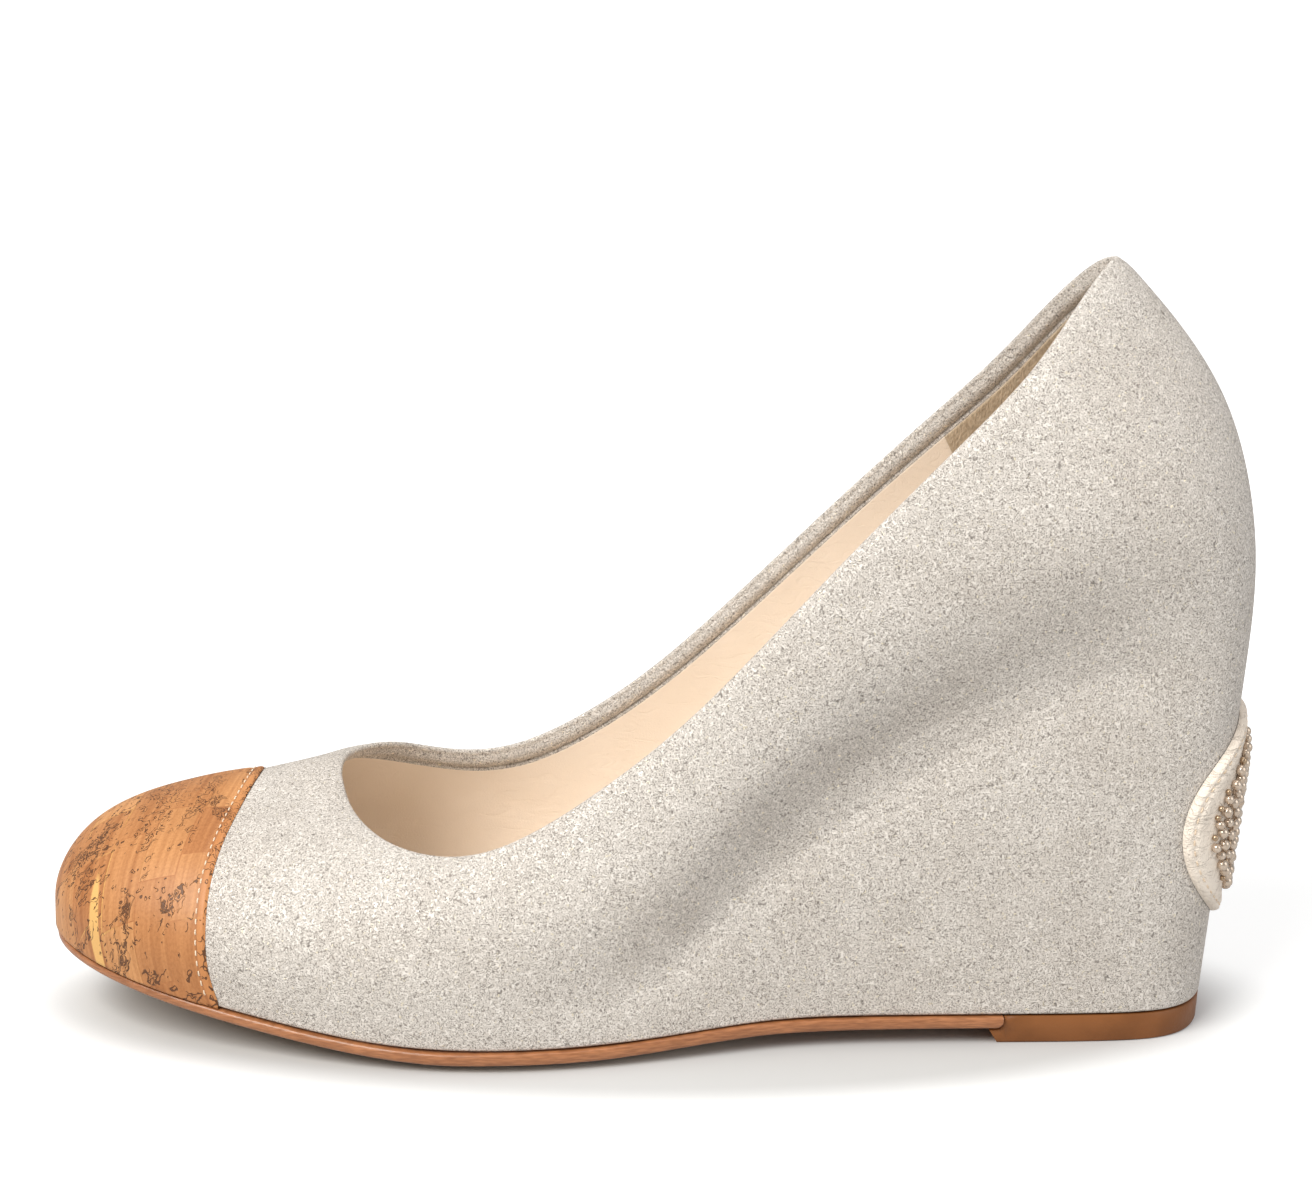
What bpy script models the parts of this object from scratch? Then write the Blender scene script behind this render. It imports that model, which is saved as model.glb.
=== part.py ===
"""Wedge pump, left shoe, standing empty on its sole.

The frame is +X from toe to heel, +Y to the inner side of the foot, +Z up.
The origin is on the floor under the middle of the shoe. Lengths are in metres.
"""
from collections import namedtuple

import bmesh
import bpy
import numpy as np

# Driving dimensions of the shoe
LENGTH = 0.2270            # upper, from its toe to the bulge of its heel
BALL_WIDTH = 0.0800        # widest part of the forefoot
BACK_HEIGHT = 0.1430       # top of the back above the floor
HEEL_SEAT = 0.0745         # foot bed at the heel above the forefoot
TOE_SPRING = 0.0127        # tread at the toe above the floor
UPPER_WALL = 0.0018        # covering fabric with its lining
CAP_WALL = 0.0009          # cork overlay on the toe
CAP_SWEEP = 0.0046         # how far the cap reaches back on top of the toe
CAP_SEAM_HEIGHT = 0.0240   # where its seam is farthest forward
CAP_SEAM_HALF = 0.0200     # height above that place where the sweep is reached
SWEEP_POWER = 2.5          # how late the seam turns back
SWEEP_LIMIT = 1.2          # share of CAP_SEAM_HALF past which it runs straight
INSOLE_THICKNESS = 0.0020
SOLE_THICKNESS = 0.0036    # outsole under the ball
TOE_THICKNESS = 0.0026     # outsole at the toe
WAIST_THICKNESS = 0.0023   # outsole under the waist
SOLE_EDGE = 0.0021         # upright edge band of the outsole
TOE_EDGE = 0.0015          # the same at the toe
SOLE_BEVEL = 0.0055        # how far the lower edge is cut back
SOLE_MARGIN = 0.0007       # how far the outsole stands out from the upper
LIFT_HEIGHT = 0.0052       # top lift under the heel
BREAST_SLANT = 0.6         # how far the lift's front leans back, as a share of its ledge
PATCH_LEATHER = 0.0011     # oval plate on the back of the wedge
PATCH_HEIGHT = 0.0410
PATCH_WIDTH = 0.0520       # along the surface
PATCH_BORDER = 0.0042      # bare leather round the beads
BEAD_HEIGHT = 0.0014
BEAD_FALL = 0.45           # share of it that the field loses at its edge
BEAD_FALL_POWER = 4
CLEARANCE = 0.0003         # gap between pieces that touch
PATCH_CLEARANCE = 0.0005   # gap between the plate and the curved fabric
INNER_CLEARANCE = 0.0006   # gap between the upper's wall and what it holds

# Places along the shoe, as shares of LENGTH from the toe
CAP_SEAM_SHARE = 0.154
FLAT_FRONT_SHARE = 0.350
FLAT_BACK_SHARE = 0.440
WAIST_START_SHARE = 0.620
SOLE_END_SHARE = 0.792
LIFT_BREAST_SHARE = 0.781
CORE_FRONT_SHARE = 0.452
PATCH_MIDDLE_SHARE = 0.278  # share of BACK_HEIGHT

SPRING_POWER = 1.45
WALL_SHARE = 0.72          # where the wedge wall starts to turn into the trough
COLUMNS_PER_RIB = 3
ROWS_PER_LEVEL = 3
PATCH_SPOKES = 32
PATCH_RINGS = 6
PATCH_SAMPLES = 81         # places along the sole edge that measure the plate's wrap
CORE_LEVELS = 6
SHORTEST_STEP = 0.002      # least distance between two sections of the lift
SLOPE_STEPS = 4000         # steps round the shoe that the slope of the skin is read over
SHARP_ANGLE = np.radians(40)
MERGE = 1e-6

# Ribs of one side, from the toe tip to the middle of the heel.
# Each pair or triple is: share of LENGTH from the toe, share of half BALL_WIDTH,
# share of BACK_HEIGHT. Swing moves a rib to the inner side, as a share of half
# BALL_WIDTH at the sole and at the topline. Rise lifts the inner topline.
Rib = namedtuple("Rib", "edge crease bulge shoulder top swing rise")
RIBS = (
    Rib((0.003, 0.000), (0.004, 0.000, 0.155), (0.030, 0.000, 0.227),
        (0.105, 0.000, 0.277), (0.243, 0.000, 0.324), (0.075, 0.120), 0.000),
    Rib((0.014, 0.260), (0.014, 0.275, 0.153), (0.041, 0.240, 0.225),
        (0.112, 0.143, 0.275), (0.244, 0.085, 0.317), (0.072, 0.120), 0.010),
    Rib((0.048, 0.490), (0.046, 0.520, 0.146), (0.070, 0.460, 0.219),
        (0.132, 0.295, 0.267), (0.248, 0.180, 0.308), (0.068, 0.110), 0.020),
    Rib((0.108, 0.690), (0.106, 0.720, 0.126), (0.125, 0.655, 0.203),
        (0.175, 0.495, 0.257), (0.258, 0.308, 0.290), (0.060, 0.090), 0.038),
    Rib((0.196, 0.843), (0.196, 0.875, 0.102), (0.206, 0.833, 0.180),
        (0.238, 0.695, 0.235), (0.280, 0.495, 0.273), (0.038, 0.050), 0.049),
    Rib((0.302, 0.960), (0.302, 0.985, 0.081), (0.304, 0.960, 0.156),
        (0.308, 0.855, 0.215), (0.317, 0.670, 0.262), (0.005, 0.012), 0.042),
    Rib((0.409, 0.940), (0.408, 0.960, 0.074), (0.403, 0.955, 0.150),
        (0.393, 0.880, 0.217), (0.383, 0.755, 0.270), (-0.035, 0.000), 0.035),
    Rib((0.506, 0.805), (0.502, 0.805, 0.091), (0.489, 0.865, 0.189),
        (0.477, 0.825, 0.276), (0.467, 0.740, 0.344), (-0.057, 0.000), 0.028),
    Rib((0.602, 0.675), (0.588, 0.665, 0.235), (0.575, 0.790, 0.325),
        (0.562, 0.780, 0.402), (0.551, 0.728, 0.455), (-0.028, 0.000), 0.024),
    Rib((0.708, 0.623), (0.693, 0.625, 0.385), (0.678, 0.765, 0.483),
        (0.664, 0.765, 0.563), (0.651, 0.718, 0.622), (-0.008, 0.000), 0.008),
    Rib((0.804, 0.613), (0.796, 0.635, 0.474), (0.786, 0.770, 0.591),
        (0.765, 0.740, 0.691), (0.742, 0.665, 0.767), (0.000, 0.000), 0.000),
    Rib((0.879, 0.593), (0.885, 0.625, 0.518), (0.879, 0.730, 0.643),
        (0.849, 0.655, 0.776), (0.806, 0.530, 0.869), (0.000, 0.000), 0.000),
    Rib((0.938, 0.495), (0.964, 0.525, 0.500), (0.957, 0.565, 0.636),
        (0.916, 0.480, 0.804), (0.850, 0.320, 0.954), (0.000, 0.000), 0.000),
    Rib((0.963, 0.275), (0.989, 0.285, 0.469), (0.992, 0.295, 0.622),
        (0.960, 0.245, 0.810), (0.875, 0.150, 0.993), (0.000, 0.000), 0.000),
    Rib((0.970, 0.000), (0.995, 0.000, 0.448), (1.000, 0.000, 0.615),
        (0.974, 0.000, 0.813), (0.884, 0.000, 1.000), (0.000, 0.000), 0.000),
)
RISE_OF_LEVEL = (0.0, 0.0, 0.0, 0.1, 0.25, 1.0)

# Foot bed from the ball to the heel: share of LENGTH, share of HEEL_SEAT
FOOT_BED = (
    (0.000, 0.000), (0.200, 0.000), (0.390, 0.000), (0.450, 0.022), (0.506, 0.118),
    (0.558, 0.275), (0.615, 0.458), (0.681, 0.640), (0.747, 0.780), (0.813, 0.885),
    (0.879, 0.955), (0.945, 0.988), (1.000, 1.000),
)

SILVER_FABRIC = ("silver fabric", (0.60, 0.57, 0.52), 0.48, 0.35)
CORK = ("cork", (0.58, 0.29, 0.13), 0.62, 0.0)
CORE_FOAM = ("wedge block", (0.60, 0.48, 0.33), 0.80, 0.0)
INSOLE_LEATHER = ("insole leather", (0.80, 0.66, 0.50), 0.45, 0.0)
SOLE_LEATHER = ("sole leather", (0.35, 0.15, 0.06), 0.40, 0.0)
LIFT_RUBBER = ("top lift rubber", (0.20, 0.09, 0.04), 0.38, 0.0)
PATCH_MATERIAL = ("patch leather", (0.78, 0.66, 0.55), 0.45, 0.0)
BEAD_MATERIAL = ("beads", (0.62, 0.53, 0.42), 0.22, 0.55)


def clear_scene():
    """Remove every object of the file."""
    for thing in list(bpy.data.objects):
        bpy.data.objects.remove(thing, do_unlink=True)


def along(share):
    """X of a place given as a share of LENGTH from the toe."""
    return (share - 0.5) * LENGTH


def spline(knots, values, places, loop=False):
    """Cubic spline through the values at the knots, read at the places."""
    knots = np.asarray(knots, float)
    values = np.asarray(values, float)
    if loop:
        turn = knots[-1] - knots[0]
        wrap = 6
        knots = np.concatenate([knots[-wrap - 1:-1] - turn, knots, knots[1:wrap + 1] + turn])
        values = np.concatenate([values[-wrap:], values, values[:wrap + 1]])
    steps = np.diff(knots)
    slopes = np.diff(values, axis=0) / steps[:, None]
    count = len(knots)
    system = np.eye(count)
    right = np.zeros_like(values)
    for k in range(1, count - 1):
        system[k, k - 1:k + 2] = steps[k - 1], 2 * (steps[k - 1] + steps[k]), steps[k]
        right[k] = 6 * (slopes[k] - slopes[k - 1])
    bends = np.linalg.solve(system, right)
    places = np.asarray(places, float)
    span = np.clip(np.searchsorted(knots, places, side="right") - 1, 0, count - 2)
    step = steps[span][:, None]
    before = (places - knots[span])[:, None]
    after = step - before
    return ((bends[span] * after**3 + bends[span + 1] * before**3) / (6 * step)
            + (values[span] / step - bends[span] * step / 6) * after
            + (values[span + 1] / step - bends[span + 1] * step / 6) * before)


def toe_share(x):
    """Share of the way from the flat of the ball to the toe."""
    front = along(FLAT_FRONT_SHARE)
    return np.clip((front - x) / (front - along(0.0)), 0.0, None)


def waist_share(x):
    """Share of the way from the flat of the ball to the waist, eased at both ends."""
    back = along(FLAT_BACK_SHARE)
    share = np.clip((x - back) / (along(WAIST_START_SHARE) - back), 0, 1)
    return share**2 * (3 - 2 * share)


def sole_tread(x):
    """Height of the tread face, flat on the floor under the ball."""
    return (TOE_SPRING * toe_share(x)**SPRING_POWER
            + (LIFT_HEIGHT - WAIST_THICKNESS) * waist_share(x))


def sole_top(x):
    """Height of the outsole's upper face, with its toe spring and waist."""
    return (sole_tread(x) + SOLE_THICKNESS + (TOE_THICKNESS - SOLE_THICKNESS) * toe_share(x)
            + (WAIST_THICKNESS - SOLE_THICKNESS) * waist_share(x))


def edge_band(x):
    """Height of the outsole's upright edge."""
    return SOLE_EDGE + (TOE_EDGE - SOLE_EDGE) * toe_share(x)


def foot_bed(x):
    """Height of the insole's upper face."""
    shares = np.asarray(FOOT_BED)
    flat = np.atleast_1d(np.asarray(x, float))
    rise = spline(along(shares[:, 0]), shares[:, 1:], flat)[:, 0]
    rise = np.clip(rise, 0.0, None) * HEEL_SEAT
    height = sole_top(flat) + CLEARANCE + INSOLE_THICKNESS + rise
    return height if np.ndim(x) else float(height[0])


def rib_points(rib, side):
    """Six points of a rib, from the sole to the topline. Side is -1 outer, +1 inner."""
    rows = [(along(rib.edge[0]), rib.edge[1] * BALL_WIDTH / 2, 0.0)]
    for place, half, height in (rib.crease, rib.bulge, rib.shoulder, rib.top):
        rows.append((along(place), half * BALL_WIDTH / 2, height * BACK_HEIGHT))
    points = np.array(rows)
    points[0, 2] = sole_top(points[0, 0]) + CLEARANCE
    wall = points[0] + WALL_SHARE * (points[1] - points[0])
    points = np.insert(points, 1, wall, axis=0)
    swing = np.linspace(rib.swing[0], rib.swing[1], len(points)) * BALL_WIDTH / 2
    points[:, 1] = points[:, 1] * side + swing
    if side > 0:
        points[:, 2] += np.array(RISE_OF_LEVEL) * rib.rise * BACK_HEIGHT
    return points


def rib_cage():
    """Control points [rib][level], round the shoe from the toe over the outer side."""
    outer = [rib_points(rib, -1) for rib in RIBS]
    inner = [rib_points(rib, +1) for rib in RIBS[-2:0:-1]]
    return np.array(outer + inner)


def around_knots(cage):
    """Distance round the shoe at each rib, as the mean over the levels."""
    closed = np.concatenate([cage, cage[:1]])
    steps = np.linalg.norm(np.diff(closed, axis=0), axis=2).mean(axis=1)
    return np.concatenate([[0.0], np.cumsum(steps)])


def skin(places, outset=0.0):
    """Points [column][row] of the upper's outer face, moved out by outset."""
    cage = rib_cage()
    knots = around_knots(cage)
    turn = knots[-1]
    nudge = turn / SLOPE_STEPS
    sheets = []
    for shift in (-nudge, 0.0, nudge):
        levels = [spline(knots, cage[:, level], (places + shift) % turn, loop=True)
                  for level in range(cage.shape[1])]
        columns = []
        for column in np.stack(levels, axis=1):
            heights = np.linalg.norm(np.diff(column, axis=0), axis=1)
            heights = np.concatenate([[0.0], np.cumsum(heights)])
            rows = np.interp(np.arange((len(column) - 1) * ROWS_PER_LEVEL + 1) / ROWS_PER_LEVEL,
                             np.arange(len(column)), heights)
            columns.append(spline(heights, column, rows))
        sheets.append(np.array(columns))
    before, points, after = sheets
    outward = np.cross(after - before, np.gradient(points, axis=1))
    outward /= np.linalg.norm(outward, axis=2, keepdims=True)
    return points + outward * outset


def column_places():
    """Places round the shoe of the mesh columns, some between each two ribs."""
    knots = around_knots(rib_cage())
    count = (len(knots) - 1) * COLUMNS_PER_RIB
    return np.interp(np.arange(count) / COLUMNS_PER_RIB, np.arange(len(knots)), knots)


def at_height(rib, height_of):
    """Point of a rib's polyline where its height reaches height_of(x)."""
    over = rib[:, 2] - np.array([height_of(x) for x in rib[:, 0]])
    if over[0] > 0:
        point = rib[0].copy()
    else:
        k = int(np.argmax(over > 0))
        share = over[k - 1] / (over[k - 1] - over[k])
        point = rib[k - 1] + share * (rib[k] - rib[k - 1])
    point[2] = height_of(point[0])
    return point


def paired_columns(sheet):
    """Outer and inner ribs of a sheet that face each other, from toe to heel."""
    count = len(sheet)
    half = count // 2
    outer = [sheet[k] for k in range(half + 1)]
    inner = [sheet[(count - k) % count] for k in range(half + 1)]
    return list(zip(outer, inner))


def material(finish):
    """Principled material from a finish: name, colour, roughness, metallic."""
    name, colour, roughness, metallic = finish
    surface = bpy.data.materials.new(name)
    surface.use_nodes = True
    shader = surface.node_tree.nodes["Principled BSDF"]
    shader.inputs["Base Color"].default_value = (*colour, 1.0)
    shader.inputs["Roughness"].default_value = roughness
    shader.inputs["Metallic"].default_value = metallic
    surface.diffuse_color = (*colour, 1.0)
    return surface


def mesh_object(name, shape, finish, home):
    """Object from a bmesh, shaded smooth, with its own material."""
    mesh = bpy.data.meshes.new(name)
    shape.to_mesh(mesh)
    shape.free()
    mesh.shade_smooth()
    mesh.set_sharp_from_angle(angle=SHARP_ANGLE)
    mesh.materials.append(material(finish))
    piece = bpy.data.objects.new(name, mesh)
    home.objects.link(piece)
    return piece


def sheet_mesh(sheet, closed=True):
    """Open surface over the columns and rows of a sheet, facing out."""
    shape = bmesh.new()
    corners = [[shape.verts.new(point) for point in column] for column in sheet]
    count = len(corners)
    for k in range(count if closed else count - 1):
        here = corners[k]
        beside = corners[(k + 1) % count]
        for row in range(len(here) - 1):
            shape.faces.new((here[row], beside[row], beside[row + 1], here[row + 1]))
    return shape


def loft_mesh(sections):
    """Closed body through rings of points. Rings may close up to a line at an end."""
    shape = bmesh.new()
    rings = [[shape.verts.new(point) for point in section] for section in sections]
    for ring, following in zip(rings, rings[1:]):
        for k in range(len(ring)):
            after = (k + 1) % len(ring)
            shape.faces.new((ring[k], ring[after], following[after], following[k]))
    shape.faces.new(rings[0][::-1])
    shape.faces.new(rings[-1])
    bmesh.ops.dissolve_degenerate(shape, dist=MERGE, edges=shape.edges)
    bmesh.ops.remove_doubles(shape, verts=shape.verts, dist=MERGE)
    bmesh.ops.recalc_face_normals(shape, faces=shape.faces)
    return shape


def thicken(piece, thickness, outward):
    """Solidify an open surface to one side."""
    wall = piece.modifiers.new("wall", "SOLIDIFY")
    wall.thickness = thickness
    wall.offset = 1.0 if outward else -1.0
    wall.use_even_offset = True
    wall.use_quality_normals = True


def make_upper(home):
    """Hollow upper that covers foot and wedge in one, open at throat and sole."""
    piece = mesh_object("upper", sheet_mesh(skin(column_places())), SILVER_FABRIC, home)
    thicken(piece, UPPER_WALL, outward=False)


def seam_shift(point):
    """How far the toe cap's seam lies behind its foremost place at a point's height."""
    share = min(abs(point[2] - CAP_SEAM_HEIGHT) / CAP_SEAM_HALF, SWEEP_LIMIT)
    return CAP_SWEEP * share**SWEEP_POWER


def make_toe_cap(home):
    """Cork overlay, cut from the upper's own surface along a bowed seam."""
    shape = sheet_mesh(skin(column_places(), CLEARANCE))
    for vert in shape.verts:
        vert.co.x -= seam_shift(vert.co)
    everything = shape.verts[:] + shape.edges[:] + shape.faces[:]
    bmesh.ops.bisect_plane(shape, geom=everything, dist=MERGE, plane_co=(along(CAP_SEAM_SHARE), 0, 0),
                           plane_no=(1, 0, 0), clear_outer=True)
    for vert in shape.verts:
        vert.co.x += seam_shift(vert.co)
    piece = mesh_object("toe_cap", shape, CORK, home)
    thicken(piece, CAP_WALL, outward=True)


def make_insole(home):
    """Thin board on the wedge and the outsole, inside the upper's wall."""
    sheet = skin(column_places(), -(UPPER_WALL + INNER_CLEARANCE))
    sections = []
    for outer, inner in paired_columns(sheet):
        left = at_height(outer, lambda x: foot_bed(x) - INSOLE_THICKNESS)
        right = at_height(inner, lambda x: foot_bed(x) - INSOLE_THICKNESS)
        up = np.array((0, 0, INSOLE_THICKNESS))
        sections.append((left, left + up, right + up, right))
    mesh_object("insole", loft_mesh(sections), INSOLE_LEATHER, home)


def core_top(x):
    """Height of the wedge block, one clearance under the insole."""
    return foot_bed(x) - INSOLE_THICKNESS - CLEARANCE


def core_bottom(x):
    """Height of the wedge block's underside, on the outsole and the top lift."""
    return sole_top(x) + CLEARANCE


def make_wedge_core(home):
    """Wedge block that fills the upper below the foot bed, from the ball to the heel."""
    sheet = skin(column_places(), -(UPPER_WALL + INNER_CLEARANCE))
    sections = []
    for outer, inner in paired_columns(sheet):
        if outer[0][0] < along(CORE_FRONT_SHARE):
            continue
        sides = []
        for rib in (outer, inner):
            low = at_height(rib, core_bottom)
            high = at_height(rib, core_top)
            heights = np.linspace(low[2], high[2], CORE_LEVELS)
            between = np.array([at_height(rib, lambda x, h=h: h) for h in heights[1:-1]])
            sides.append(np.vstack([low, between, high]))
        sections.append(np.vstack([sides[0], sides[1][::-1]]))
    mesh_object("wedge_core", loft_mesh(sections), CORE_FOAM, home)


def sole_chain(margin):
    """Outline of the outsole seen from above: outer and inner side, toe to heel."""
    edge = skin(column_places())[:, 0, :2]
    run = np.roll(edge, -1, axis=0) - np.roll(edge, 1, axis=0)
    run /= np.linalg.norm(run, axis=1, keepdims=True)
    outward = np.stack([run[:, 1], -run[:, 0]], axis=1)
    outline = edge + outward * margin
    half = len(outline) // 2
    outer = outline[:half + 1]
    inner = np.array([outline[-k % len(outline)] for k in range(half + 1)])
    return outer, inner


def across(chain, x):
    """Y of a side of the outline at x."""
    return float(np.interp(x, chain[:, 0], chain[:, 1]))


def make_outsole(home):
    """Leather outsole with toe spring, bevelled lower edge and a thin waist."""
    end = along(SOLE_END_SHARE)
    top_line = sole_chain(SOLE_MARGIN)
    tread_line = sole_chain(SOLE_MARGIN - SOLE_BEVEL)
    sections = []
    for k, top_x in enumerate(top_line[0][:, 0]):
        last = top_x >= end
        sides = []
        for top, tread in zip(top_line, tread_line):
            high = (end, across(top, end)) if last else top[k]
            low = (end, across(tread, end)) if last else (min(tread[k][0], end), tread[k][1])
            sides.append(((*high, sole_top(high[0])),
                          (*high, sole_top(high[0]) - edge_band(high[0])),
                          (*low, sole_tread(low[0]))))
        sections.append(sides[0] + sides[1][::-1])
        if last:
            break
    mesh_object("outsole", loft_mesh(sections), SOLE_LEATHER, home)


def make_top_lift(home):
    """Top lift with a slanted breast and a rebate under the end of the outsole."""
    line = sole_chain(0.0)
    ledge = LIFT_HEIGHT - WAIST_THICKNESS - CLEARANCE
    breast = along(LIFT_BREAST_SHARE)
    slant = ledge * BREAST_SLANT
    step = along(SOLE_END_SHARE) + CLEARANCE
    stations = [(breast + slant, breast, ledge), (step, step, ledge), (step, step, LIFT_HEIGHT)]
    heel = max(line[0][:, 0])
    stations += [(x, x, LIFT_HEIGHT) for x in line[0][:, 0] if step + SHORTEST_STEP < x < heel]
    stations.append((heel, heel, LIFT_HEIGHT))
    sections = []
    for low_x, high_x, height in stations:
        outer, inner = line
        sections.append(((low_x, across(outer, low_x), 0.0),
                         (high_x, across(outer, high_x), height),
                         (high_x, across(inner, high_x), height),
                         (low_x, across(inner, low_x), 0.0)))
    mesh_object("top_lift", loft_mesh(sections), LIFT_RUBBER, home)


def points_on_back(sideways, heights, outset):
    """Points over the back of the wedge, sideways along the surface from its middle."""
    knots = around_knots(rib_cage())
    middle = knots[len(RIBS) - 1]
    reach = np.linspace(-PATCH_WIDTH, PATCH_WIDTH, PATCH_SAMPLES)
    edge = skin(middle + reach)[:, 0]
    length = np.concatenate([[0.0], np.cumsum(np.linalg.norm(np.diff(edge, axis=0), axis=1))])
    places = middle + np.interp(sideways, length - length[len(reach) // 2], reach)
    ribs = skin(places, outset)
    return [at_height(rib, lambda x, h=height: h) for rib, height in zip(ribs, heights)]


def oval_rings(full, outset_of):
    """Rings of an oval on the back of the wedge, from its middle to the beads' edge.

    A full oval has one ring more, at the edge of the leather plate.
    """
    middle = PATCH_MIDDLE_SHARE * BACK_HEIGHT
    bead_wide = PATCH_WIDTH / 2 - PATCH_BORDER
    bead_high = PATCH_HEIGHT / 2 - PATCH_BORDER
    shares = np.linspace(0, 1, PATCH_RINGS + 1)[1:]
    sizes = [(share * bead_wide, share * bead_high, share) for share in shares]
    if full:
        sizes.append((PATCH_WIDTH / 2, PATCH_HEIGHT / 2, 1.0))
    angles = np.linspace(0, 2 * np.pi, PATCH_SPOKES, endpoint=False)
    rings = [points_on_back(np.cos(angles) * wide, middle + np.sin(angles) * high,
                            outset_of(share)) for wide, high, share in sizes]
    return points_on_back(np.zeros(1), [middle], outset_of(0.0))[0], rings


def oval_body(name, full, low_of, high_of, finish, home):
    """Closed oval body between two heights over the back of the wedge."""
    shape = bmesh.new()
    rims = []
    for outset_of in (low_of, high_of):
        middle, rings = oval_rings(full, outset_of)
        hub = shape.verts.new(middle)
        corners = [[shape.verts.new(point) for point in ring] for ring in rings]
        for k in range(PATCH_SPOKES):
            after = (k + 1) % PATCH_SPOKES
            shape.faces.new((hub, corners[0][k], corners[0][after]))
            for ring, wider in zip(corners, corners[1:]):
                shape.faces.new((ring[k], wider[k], wider[after], ring[after]))
        rims.append(corners[-1])
    low, high = rims
    for k in range(PATCH_SPOKES):
        after = (k + 1) % PATCH_SPOKES
        shape.faces.new((low[k], low[after], high[after], high[k]))
    bmesh.ops.recalc_face_normals(shape, faces=shape.faces)
    mesh_object(name, shape, finish, home)


def make_heel_patch(home):
    """Oval leather plate that wraps round the back of the wedge."""
    oval_body("heel_patch", True, lambda share: PATCH_CLEARANCE,
              lambda share: PATCH_CLEARANCE + PATCH_LEATHER, PATCH_MATERIAL, home)


def make_bead_bed(home):
    """Field of beads on the plate, as one low dome."""
    foot = PATCH_CLEARANCE + PATCH_LEATHER + CLEARANCE
    oval_body("bead_bed", False, lambda share: foot,
              lambda share: foot + BEAD_HEIGHT * (1 - BEAD_FALL * share**BEAD_FALL_POWER),
              BEAD_MATERIAL, home)


def main():
    clear_scene()
    home = bpy.data.collections.new("wedge_pump")
    bpy.context.scene.collection.children.link(home)
    make_upper(home)
    make_toe_cap(home)
    make_wedge_core(home)
    make_insole(home)
    make_outsole(home)
    make_top_lift(home)
    make_heel_patch(home)
    make_bead_bed(home)


main()
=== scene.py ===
"""Looks of the wedge pump, a left shoe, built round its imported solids.

The frame is +X from toe to heel, +Y to the inner side of the foot, +Z up.
Lengths are in metres and colours are linear.
"""

from collections import namedtuple

import bmesh
import bpy
import numpy as np
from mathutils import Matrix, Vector


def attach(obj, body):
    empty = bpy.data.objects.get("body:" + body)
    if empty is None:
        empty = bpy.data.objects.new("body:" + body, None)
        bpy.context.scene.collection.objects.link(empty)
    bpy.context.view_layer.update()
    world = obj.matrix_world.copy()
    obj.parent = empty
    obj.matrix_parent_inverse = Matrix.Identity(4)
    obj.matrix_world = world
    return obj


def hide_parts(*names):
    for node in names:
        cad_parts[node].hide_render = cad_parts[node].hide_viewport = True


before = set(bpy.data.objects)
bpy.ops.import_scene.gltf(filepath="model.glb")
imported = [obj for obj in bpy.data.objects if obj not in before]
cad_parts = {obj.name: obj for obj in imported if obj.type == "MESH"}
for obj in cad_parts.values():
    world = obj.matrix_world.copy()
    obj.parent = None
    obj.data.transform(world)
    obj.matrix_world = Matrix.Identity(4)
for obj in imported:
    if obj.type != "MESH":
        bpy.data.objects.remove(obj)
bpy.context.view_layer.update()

# Sizes of the shoe, as in its solids
LENGTH = 0.2270
BALL_WIDTH = 0.0800
BACK_HEIGHT = 0.1430
HEEL_SEAT = 0.0745
TOE_SPRING = 0.0127
UPPER_WALL = 0.0018
CAP_WALL = 0.0009
CAP_SWEEP = 0.0046
CAP_SEAM_HEIGHT = 0.0240
CAP_SEAM_HALF = 0.0200
SWEEP_POWER = 2.5
SWEEP_LIMIT = 1.2
INSOLE_THICKNESS = 0.0020
SOLE_THICKNESS = 0.0036
TOE_THICKNESS = 0.0026
WAIST_THICKNESS = 0.0023
SOLE_EDGE = 0.0021
TOE_EDGE = 0.0015
SOLE_BEVEL = 0.0055
SOLE_MARGIN = 0.0007
LIFT_HEIGHT = 0.0052
BREAST_SLANT = 0.6
PATCH_LEATHER = 0.0011
PATCH_HEIGHT = 0.0410
PATCH_WIDTH = 0.0520
PATCH_BORDER = 0.0042
CLEARANCE = 0.0003
PATCH_CLEARANCE = 0.0005
INNER_CLEARANCE = 0.0006

# Places along the shoe, as shares of LENGTH from the toe
CAP_SEAM_SHARE = 0.154
FLAT_FRONT_SHARE = 0.350
FLAT_BACK_SHARE = 0.440
WAIST_START_SHARE = 0.620
SOLE_END_SHARE = 0.792
LIFT_BREAST_SHARE = 0.781
PATCH_MIDDLE_SHARE = 0.278
GRIP_FRONT_SHARE = 0.768     # front seam of the heel grip
SPRING_POWER = 1.45
WALL_SHARE = 0.72

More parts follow.
